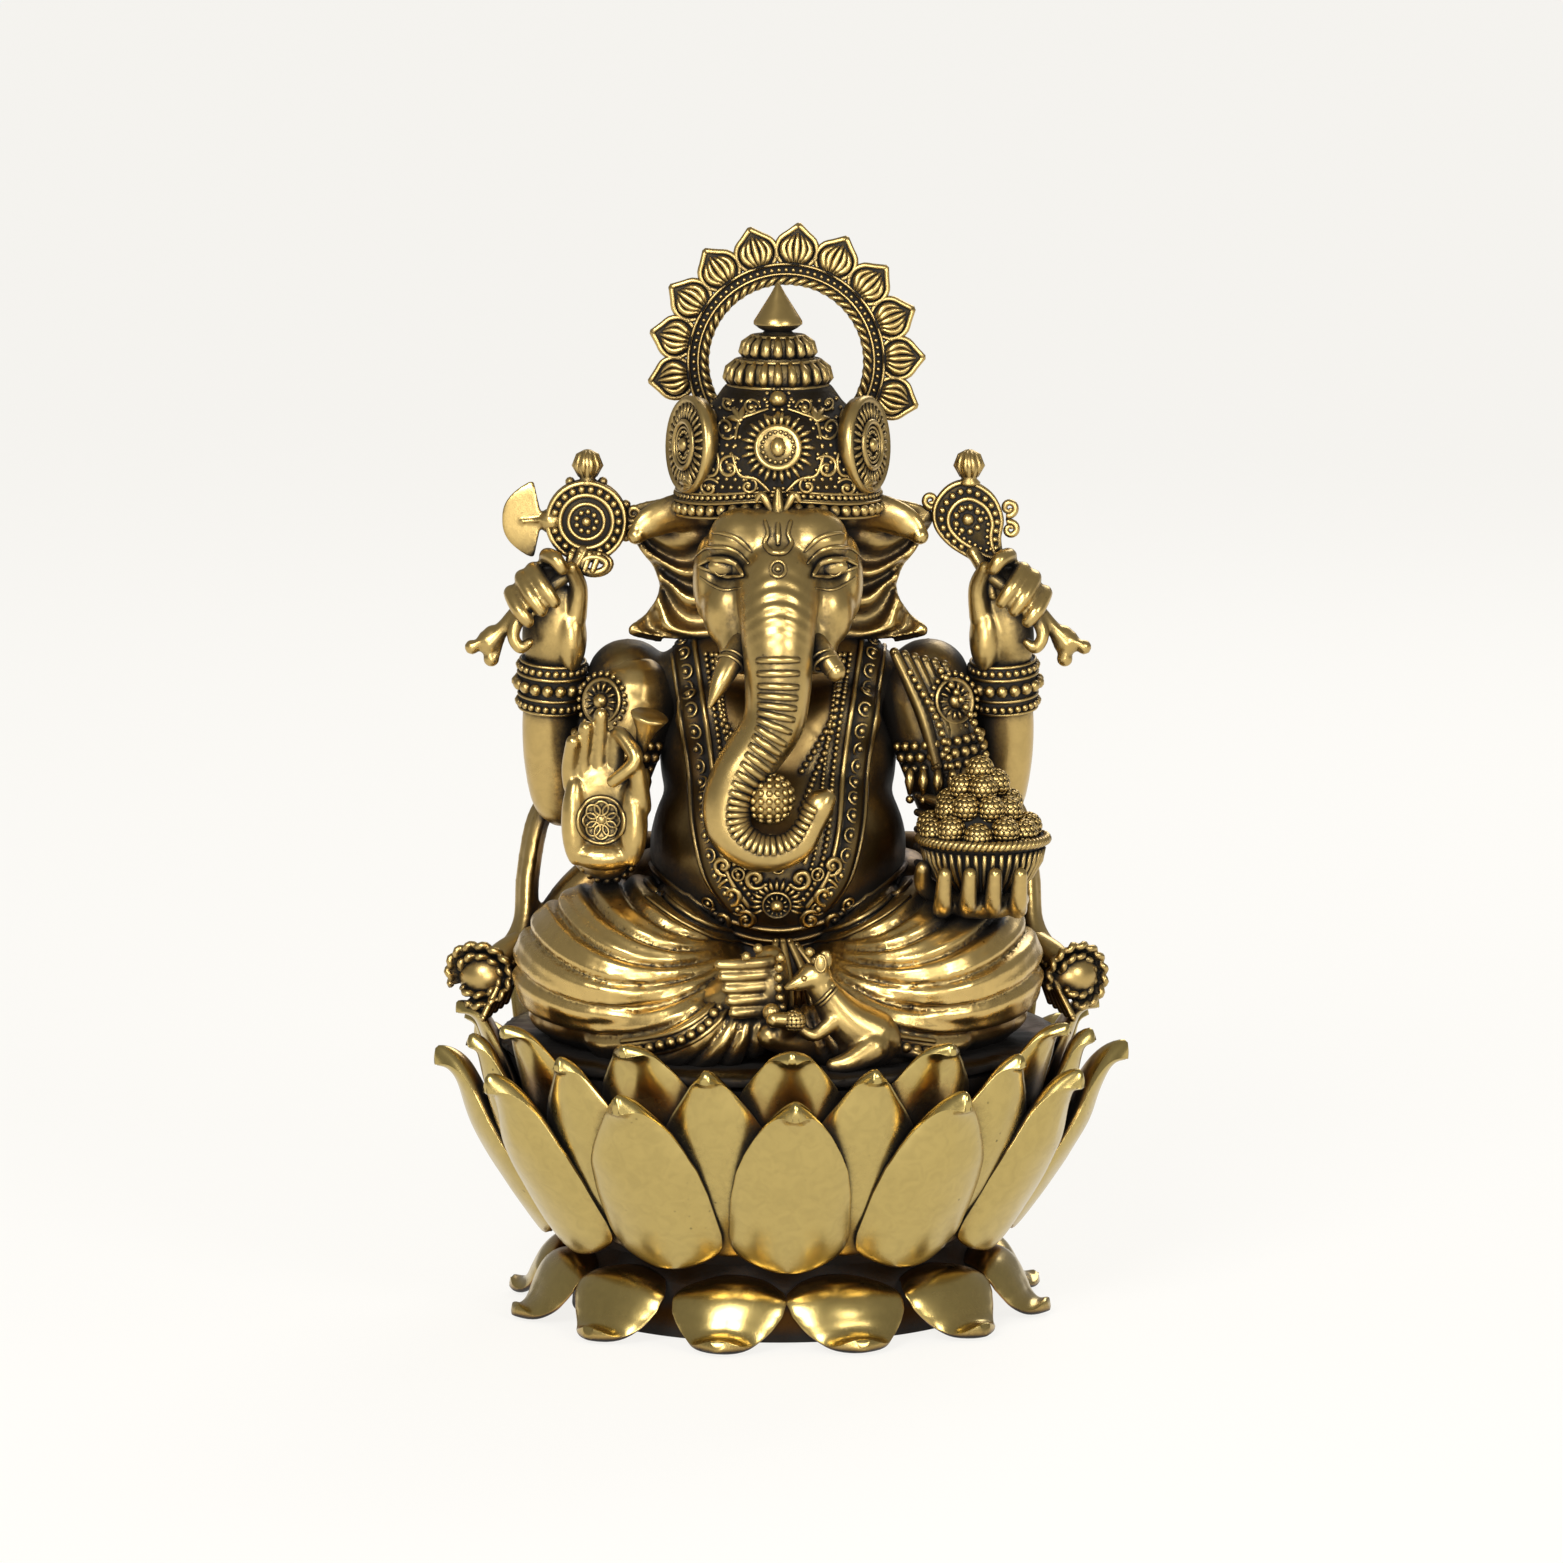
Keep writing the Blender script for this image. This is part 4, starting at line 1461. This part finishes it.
    def noose(self, s):
        """The noose as a bead-edged drop with a curled point."""
        cx, cy, cz = middle("noose_plate")[0] - 0.6, middle("noose_plate")[1], s + 134
        clay = Clay()
        drop = curve([(0, 10), (5.8, 6.8), (8.6, 1.0), (8.0, -4.5), (8.8, -9.5), (10.2, -13.0), (5.6, -12.2),
                      (1.0, -9.4),
                      (-4.6, -5.8), (-8.2, -1.2), (-8.4, 4.0), (-5.0, 8.6)], 72, True)
        heart = drop.mean(0)
        rings = [1.0, 0.93, 0.82, 0.5, 0.02]
        lifts = [0.0, 2.0, 1.5, 2.2, 2.6]
        front = np.array([[(cx + heart[0] + (p[0] - heart[0]) * r, cy - h,
                            cz + heart[1] + (p[1] - heart[1]) * r)
                           for p in drop] for r, h in zip(rings, lifts)])
        back = front.copy()
        back[:, :, 1] = 2 * cy - front[:, :, 1]
        n = len(drop)
        pts = np.vstack([back[::-1].reshape(-1, 3), front[1:].reshape(-1, 3)])
        rows = 2 * len(rings) - 1
        faces = [(r * n + k, r * n + (k + 1) % n, (r + 1) * n + (k + 1) % n, (r + 1) * n + k)
                 for r in range(rows - 1) for k in range(n)]
        faces += [tuple(range(n))[::-1], tuple((rows - 1) * n + k for k in range(n))]
        plate = Clay().add(pts, faces).object("noose_field")
        outwards(plate)
        placed(plate, "field", "ornament_brass")
        for share in (1.0, 0.66):
            for dy in (-1.3 - (share < 1) * 0.8, 1.3 + (share < 1) * 0.8):
                clay.tube([(cx + heart[0] + (p[0] - heart[0]) * share, cy + dy,
                            cz + heart[1] + (p[1] - heart[1]) * share)
                           for p in drop], [0.7], 6, closed=True)
        for share, size, pitch, dy in ((0.83, 0.95, 2.3, -2.0), (0.50, 0.62, 1.7, -2.4)):
            path = [(cx + heart[0] + (p[0] - heart[0]) * share, cy + dy,
                     cz + heart[1] + (p[1] - heart[1]) * share)
                    for p in drop]
            beads(clay, path, size, pitch, True)
            beads(clay, [(a, 2 * cy - b, c) for a, b, c in path], size, pitch, True)
        count, radius, size = 9, 3.2, 0.95
        for k in range(count):
            a = TURN * k / count
            clay.ball((cx + radius * math.cos(a), cy - 2.6, cz + 0.6 + radius * math.sin(a)), size, 5, 8)
        clay.ball((cx, cy - 2.8, cz + 0.6), (1.6, 1.2, 1.6), 7, 12)
        self.knob(clay, cx + 0.3, cy, cz + 14.6)
        for px, pz, start, turns in ((cx + 10.6, cz + 3.4, 250, 1.3), (cx + 11.0, cz - 2.2, 120, -1.3),
                                     (cx - 9.6, cz + 5.4, 330, -1.3)):
            path = [(a, cy - 0.6, b) for a, b in scroll((px, pz), start, turns, 2.2, 0.6, 24)]
            clay.tube(path, [0.9, 0.9, 0.6], 7)
        clay.limb([(cx + 8.4, cy, cz - 10), (cx + 6, cy - 1.5, cz - 15), (cx + 6.5, cy - 2.5, cz - 19)],
                  [1.8, 2.0, 1.6], 12, 9)
        fitted(clay, "noose_rosette", "ornament", "ornament_brass", "noose_plate")

    def bowl(self):
        low, high = span("bowl")
        x, y = (low[0] + high[0]) / 2, (low[1] + high[1]) / 2
        r, z, top = (high[0] - low[0]) / 2, low[2], high[2]
        ground = Clay().lathe([(0.5, z), (8.6, z), (9.2, z + 1.2), (12.0, z + 4.0), (14.2, z + 8.0),
                               (15.2, top - 3),
                             (r - 1, top - 2.6), (r - 0.6, top), (r - 2.4, top), (r - 3.2, top - 1.6),
                               (0.5, top - 1.6)],
                            (x, y, 0), 60)
        clay = Clay()
        for k in range(44):
            a = TURN * k / 44
            d = np.array([math.cos(a), math.sin(a), 0])
            c = np.array([x, y, 0])
            clay.tube([c + d * 9.6 + (0, 0, z + 1.0), c + d * 12.6 + (0, 0, z + 4.6),
                       c + d * 14.8 + (0, 0, z + 8.6),
                       c + d * 15.6 + (0, 0, top - 3.2)], [0.45, 0.72, 0.75, 0.6], 6)
        for strand in range(2):
            rope = []
            for a in angles(320):
                phase = a * 34 + math.pi * strand
                radius = r - 0.8 + 0.65 * math.cos(phase)
                rope.append((x + radius * math.cos(a), y + radius * math.sin(a),
                             top - 1.0 + 0.65 * math.sin(phase)))
            clay.tube(rope, [0.78], 6, closed=True)
        fitted(clay, "bowl_flutes", "ornament", "ornament_brass", "bowl")

        sweets = Clay()
        ground.lathe([(0.5, top - 3), (12.5, top - 3), (12.5, top), (9.5, top + 5), (5.0, top + 10),
                               (0.5, top + 12)], (x - 1, y, 0), 24)
        shuffle = random_turns(31)
        for count, radius, rise, first in ((11, 12.6, 1.6, 0.1), (8, 8.2, 7.2, 0.35), (4, 4.3, 12.6, 0.2),
                                           (1, 0.2, 16.6, 0)):
            for k in range(count):
                a = first + TURN * k / count
                self.sweet(sweets, np.array([x - 1 + radius * math.cos(a), y + radius * math.sin(a),
                                             top + rise + 0.7 * math.sin(5 * a)]), 3.75, next(shuffle))
        fitted(ground, "bowl_ground", "field", "ornament_brass")
        fitted(sweets, "sweet_heap", "treat", "ornament_brass", "sweets")

    def sweet(self, clay, centre, radius, turn):
        """A round sweet scored in a grid."""
        clay.ball(centre, radius * 0.90, 7, 12)
        rows = 7
        for i in range(rows):
            tilt = math.pi * (i + 0.5) / rows
            around = max(int(round(2 * rows * math.sin(tilt))), 3)
            for k in range(around):
                a = TURN * k / around + turn
                d = np.array([math.sin(tilt) * math.sin(a), -math.sin(tilt) * math.cos(a), math.cos(tilt)])
                t = unit(np.cross(d, (0.01, 0, 1)))
                clay.ball(centre + d * radius * 0.93, (0.84, 0.84, 0.26), 4, 6,
                          np.stack([t, np.cross(t, d) * -1, d], 1))


def random_turns(seed):
    draw = np.random.default_rng(seed)
    while True:
        yield draw.uniform(0, TURN)


# ---------------------------------------------------------------- garlands, stole, mouse
class DEITY_OT_jewels(bpy.types.Operator):
    """Stud garland, bead strings, scrolled pendant and the sun boss at the waist"""
    bl_idname = "deity.jewels"
    bl_label = "Garlands"

    def execute(self, context):
        s = SEAT
        torso = Skin(bpy.data.objects["torso_skin"])
        clay, ground = Clay(), Clay()

        def lay(points, radius, lift=0.4, count=40, sides=6, flat=1.0):
            path = torso.lay(curve(points, count), lift)
            if len(path) > 3:
                clay.tube(path, np.atleast_1d(radius), sides, flat)
            return path
        for side in (-1, 1):
            band = [(side * 25.5, s + 107), (side * 24.0, s + 100), (side * 22.0, s + 88),
                    (side * 19.6, s + 72), (side * 18.4, s + 58),
                    (side * 15.4, s + 46), (side * 10.0, s + 38)]
            line = curve(band, 60)
            for shift, size in ((-3.1, 0.8), (3.1, 0.8)):
                lay([(px + side * shift, pz) for px, pz in band], [size], 0.5)
            field = torso.lay(line, 0.2)
            ground.tube(field, [3.0], 8, 0.30, (0, -1, 0.1))
            for point in spaced(field, 5.0):
                hit, normal = torso.front(point[0], point[2])
                if hit is None:
                    continue
                self.stud(clay, hit + normal * 1.0, normal, 2.3)
            for shift, size in ((-5.6, 0.8), (-8.0, 0.65)):
                inner = [(px + side * shift, pz) for px, pz in band[1:]]
                path = torso.lay(curve(inner, 60), 0.5)
                if len(path) > 3:
                    beads(clay, path, size, size * 2.15)
            for size, dip in ((0.9, 16), (0.9, 22)):
                loop = [(side * (20 - 0.2 * dip), s + 100), (side * 14, s + 92 - 0.4 * dip),
                        (side * 6, s + 96 - dip * 1.5)]
                path = torso.lay(curve(loop, 30), 0.4)
                if len(path) > 3:
                    beads(clay, path, size, size * 2.2)
        # scrolled pendant
        for cx, cz, start, turns, big, small in ((11.6, s + 41.5, 80, -1.25, 4.2, 0.9),
                                                 (5.6, s + 46.0, 200, 1.2, 3.0, 0.8),
                                                 (14.2, s + 34.5, 60, -1.2, 3.6, 0.8),
                                                 (8.0, s + 35.0, 40, 1.2, 2.8, 0.7),
                                                 (5.0, s + 52.0, 300, 1.2, 2.6, 0.6),
                                                 (13.6, s + 49, 250, 1.2, 2.6, 0.6)):
            for side in (-1, 1):
                path = [(side * px, pz) for px, pz in scroll((cx, cz), start, turns, big, small, 24)]
                lay(path, [0.6, 0.95, 0.7], 0.9, 34)
                hit, normal = torso.front(side * cx, cz)
                clay.ball(hit + normal * 0.8, 1.0, 5, 8)
        for px, pz in ((0, s + 49.0), (9.8, s + 47.0), (-9.8, s + 47.0), (17.5, s + 38.8), (-17.5, s + 38.8)):
            hit, normal = torso.front(px, pz)
            self.stud(clay, hit + normal * 1.0, normal, 2.0)
        hit, normal = torso.front(-0.3, s + 39.5)
        facing = unit(normal + np.array([0, -0.6, 0]))
        rosette(clay, hit + facing * 1.6, facing, 3.8, 12, 2.6, 0.5)
        across = np.array([1.0, 0, 0])
        upward = unit(np.cross(facing, across)) * -1
        upward = upward if upward[2] > 0 else -upward
        for k in range(15):
            a = math.radians(-25 + 230 * k / 14)
            ray = math.cos(a) * across + math.sin(a) * upward
            clay.tube([hit + facing * 1.0 + ray * 3.2, hit + facing * 1.4 + ray * 5.2,
                       hit + facing * 0.5 + ray * 6.9],
                      [0.5, 0.55, 0.25], 6)
        fitted(ground, "garland_ground", "field", "ornament_brass")
        fitted(clay, "garland_chasing", "ornament", "ornament_brass", "garland", "pendant_plate")
        return {"FINISHED"}

    def stud(self, clay, centre, facing, radius):
        facing = unit(facing)
        u = unit(np.cross(facing, (0.05, 0.02, 1)))
        v = np.cross(facing, u)
        ring = [centre + radius * 0.80 * (math.cos(a) * u + math.sin(a) * v)
                for a in angles(14)]
        clay.tube(ring, [0.42], 5, closed=True)
        clay.ball(centre, 0.42 * radius, 5, 8)


class DEITY_OT_stole(bpy.types.Operator):
    """The stole that falls behind each arm to a frilled end, and the cloth behind the hips"""
    bl_idname = "deity.stole"
    bl_label = "Stole"

    def execute(self, context):
        s = SEAT
        ruffles = Clay()
        for side, node in ((-1, "stole_right"), (1, "stole_left")):
            clay = Clay()
            for shift, radius in ((0, 2.6), (3.0, 2.2), (-2.6, 1.6)):
                clay.limb([(side * (56 - 0.4 * shift), 15 + shift, s + 63), (side * 62.5, 16 + shift, s + 54),
                           (side * 65.4, 14 + shift, s + 40), (side * 66.4, 9 + shift, s + 27),
                           (side * (71 + shift * 0.3), 3 + shift, s + 19)], [radius] * 5, 44, 12, 1.3)
            clay.limb([(side * 30, 18, s + 44), (side * 40, 16, s + 42), (side * 52, 14, s + 33),
                       (side * 62, 10, s + 20)],
                      [6, 7, 7, 6], 30, 16)
            piece = fused(clay, node + "_skin", 0.8, 3)
            placed(piece, "body", "satin_brass", node)
            ruffles.join(self.ruffle(side, s))
        fitted(ruffles, "stole_frills", "ornament", "ornament_brass", "stole_ruffles")
        return {"FINISHED"}

    def ruffle(self, side, s):
        """A shell of wavy frills one inside the other that opens forwards."""
        clay = Clay()
        centre = np.array([side * 76.5, -3.0, s + 15.0])
        axis = unit(np.array([side * 0.42, -0.86, 0.10]))
        u = unit(np.cross(axis, (0, 0, 1)))
        v = np.cross(u, axis)
        for k, (size, depth, waves) in enumerate(((8.6, 5.4, 15), (5.6, 5.0, 11))):
            rows, cols = 8, 72
            grids = []
            for wall in (0.0, 0.9):
                grid = np.zeros((rows, cols, 3))
                for i in range(rows):
                    f = i / (rows - 1)
                    for j in range(cols):
                        a = TURN * j / (cols - 1) * 0.86 + 0.6 * k - 0.4
                        flare = size * (0.45 + 0.55 * f ** 0.8) * (1 + 0.05 * f * math.sin(waves * a))
                        along = depth * f + 0.55 * f * math.cos(waves * a) + 1.6 * math.sin(a * 1.5)
                        grid[i, j] = (centre + axis * (along - 2 + wall)
                                      + u * (flare - 0.3 * wall) * math.cos(a)
                                      + v * (flare - 0.3 * wall) * 0.92 * math.sin(a))
                grids.append(grid)
            clay.sheet(grids[0], grids[1])
            clay.tube(grids[0][-1], [0.95], 7)
        clay.ball(centre - axis * 1.5, (7.5, 6.5, 6.5), 8, 14)
        clay.limb([(side * 66, 6, s + 22), (side * 71, 2, s + 19), (side * 75, -1, s + 16)], [4.2, 4.6, 4.0],
                  14, 12)
        for k in range(5):
            clay.limb([(side * (67 + k), 3 - 2 * k, s + 20 - k),
                       (side * (71 + 1.4 * k), -2 - 2 * k, s + 8 - 0.8 * k)],
                      [1.4, 1.0], 10, 8)
        return clay


class DEITY_OT_mouse(bpy.types.Operator):
    """The mouse with its sweet, at the deity's feet"""
    bl_idname = "deity.mouse"
    bl_label = "Mouse"

    def execute(self, context):
        s = SEAT
        clay = Clay()
        clay.ball((22.5, -57, s + 7.2), (9.0, 6.6, 7.6), 14, 20)
        clay.limb([(24, -57, s + 8), (17.5, -59, s + 12.5), (12.6, -61, s + 19), (10.4, -62, s + 22.5)],
                  [7.2, 6.0, 4.2, 3.6], 26, 18)
        clay.ball((9.2, -62.4, s + 24.4), (4.5, 3.6, 3.7), 12, 18)
        clay.limb([(8.2, -62.8, s + 24.2), (5.0, -64, s + 22.9), (2.4, -64.6, s + 21.9)], [3.2, 2.1, 1.0], 14,
                  14)
        for dy, dx in ((-2.9, 1.8), (2.2, 3.0)):
            clay.ball((9.0 + dx, -62.4 + dy, s + 28.2), (1.9, 0.9, 2.9), 8, 12)
        clay.limb([(14, -63, s + 13), (9, -65, s + 9.6), (5.2, -66, s + 12.0)], [2.4, 1.7, 1.4], 16, 12)
        clay.limb([(24, -62, s + 6), (18.5, -64.5, s + 3), (14.0, -65.5, s + 2)], [4.2, 3.0, 2.0], 14, 12)
        clay.limb([(30, -56, s + 5), (33, -55, s + 4), (37, -57, s + 3)], [2.4, 1.8, 1.2], 12, 10)
        mouse = fused(clay, "mouse_skin", 0.5, 4)
        skin = Skin(mouse)
        placed(mouse, "body", "satin_brass", "mouse")
        detail = Clay()
        hit = skin.front(6.6, s + 24.4)[0]
        detail.ball(hit, 0.8, 6, 9)
        for shift in (0, 1.3):
            neck = [(13.6 + shift, s + 21.6), (11.4 + shift, s + 19.2), (9.4 + shift, s + 17.2)]
            detail.tube(skin.lay(curve(neck, 12), 0.2), [0.4], 6)
        dy, dx = -3.5, 1.8
        ring = [(9.0 + dx + 1.3 * math.cos(t), -62.4 + dy + 0.1, s + 28.2 + 2.1 * math.sin(t))
                for t in angles(15)]
        detail.tube(ring, [0.35], 5, closed=True)
        DEITY_OT_emblems.sweet(self, detail, np.array([4.2, -66.4, s + 13.6]), 2.9, 0.4)
        DEITY_OT_emblems.sweet(self, detail, np.array([-1.6, -65.0, s + 15.6]), 2.2, 1.0)
        fitted(detail, "mouse_detail", "ornament", "ornament_brass", "mouse_sweet")
        return {"FINISHED"}


# ---------------------------------------------------------------- stage
class DEITY_OT_stage(bpy.types.Operator):
    """Pale floor, soft studio lights and the camera"""
    bl_idname = "deity.stage"
    bl_label = "Stage"

    def execute(self, context):
        scene = context.scene
        bpy.ops.mesh.primitive_plane_add(size=24, location=(0, 0, -0.0005))
        floor = context.object
        floor.name = "studio_floor"
        paint = bpy.data.materials.new("studio floor")
        paint.use_nodes = True
        shader = next(n for n in paint.node_tree.nodes if n.type == "BSDF_PRINCIPLED")
        shader.inputs["Base Color"].default_value = rgba([c * 0.12 for c in finish().floor])
        shader.inputs["Roughness"].default_value = 0.9
        shader.inputs["Emission Color"].default_value = rgba(finish().floor)
        shader.inputs["Emission Strength"].default_value = 0.93
        floor.data.materials.append(paint)
        scene.view_settings.view_transform = "Standard"
        world = bpy.data.worlds.new("studio") if scene.world is None else scene.world
        scene.world = world
        world.use_nodes = True
        sky = next(n for n in world.node_tree.nodes if n.type == "BACKGROUND")
        sky.inputs["Color"].default_value = (1.0, 0.985, 0.96, 1)
        sky.inputs["Strength"].default_value = 0.30
        for name, place, size, power in (("key", (-0.50, -1.4, 0.95), 0.6, 20),
                                         ("fill", (0.9, -1.3, 0.7), 0.5, 10),
                                         ("front", (0.0, -2.0, 0.30), 0.6, 9),
                                         ("rim", (0.5, 1.3, 1.1), 0.8, 8),
                                         ("low", (0.0, -1.5, 0.12), 0.5, 3)):
            lamp = bpy.data.lights.new(name, "AREA")
            lamp.energy = power
            lamp.size = size
            made = bpy.data.objects.new(name, lamp)
            scene.collection.objects.link(made)
            made.location = place
            made.rotation_euler = (Vector((0, 0, 0.14)) - Vector(place)).to_track_quat("-Z", "Y").to_euler()
        lens = bpy.data.cameras.new("camera")
        lens.lens = 196.8
        lens.sensor_width = 36
        camera = bpy.data.objects.new("camera", lens)
        scene.collection.objects.link(camera)
        aim = Vector((0.0009, 0, 0.1375))
        camera.location = (0.0009, -2.2, 0.4467)
        camera.rotation_euler = (aim - camera.location).to_track_quat("-Z", "Y").to_euler()
        scene.camera = camera
        return {"FINISHED"}


class DEITY_PT_panel(bpy.types.Panel):
    """Steps and settings of the deity"""
    bl_label = "Brass deity"
    bl_idname = "DEITY_PT_panel"
    bl_space_type = "VIEW_3D"
    bl_region_type = "UI"
    bl_category = "Deity"

    def draw(self, context):
        for step in STEPS:
            self.layout.operator(step.bl_idname)
        for group in (context.scene.deity_sizes, context.scene.deity_finish):
            for name in group.__annotations__:
                self.layout.prop(group, name)


STEPS = (DEITY_OT_stage, DEITY_OT_lotus, DEITY_OT_body, DEITY_OT_head, DEITY_OT_crown, DEITY_OT_halo,
         DEITY_OT_arms,
         DEITY_OT_hands, DEITY_OT_emblems, DEITY_OT_jewels, DEITY_OT_stole, DEITY_OT_mouse)
CLASSES = (DeityFinish, DeitySizes, *STEPS, DEITY_PT_panel)


def register():
    for cls in CLASSES:
        bpy.utils.register_class(cls)
    bpy.types.Scene.deity_finish = bpy.props.PointerProperty(type=DeityFinish)
    bpy.types.Scene.deity_sizes = bpy.props.PointerProperty(type=DeitySizes)


def unregister():
    del bpy.types.Scene.deity_finish
    del bpy.types.Scene.deity_sizes
    for cls in reversed(CLASSES):
        bpy.utils.unregister_class(cls)


def main():
    register()
    for step in STEPS:
        group, name = step.bl_idname.split(".")
        getattr(getattr(bpy.ops, group), name)()


if __name__ == "__main__":
    main()
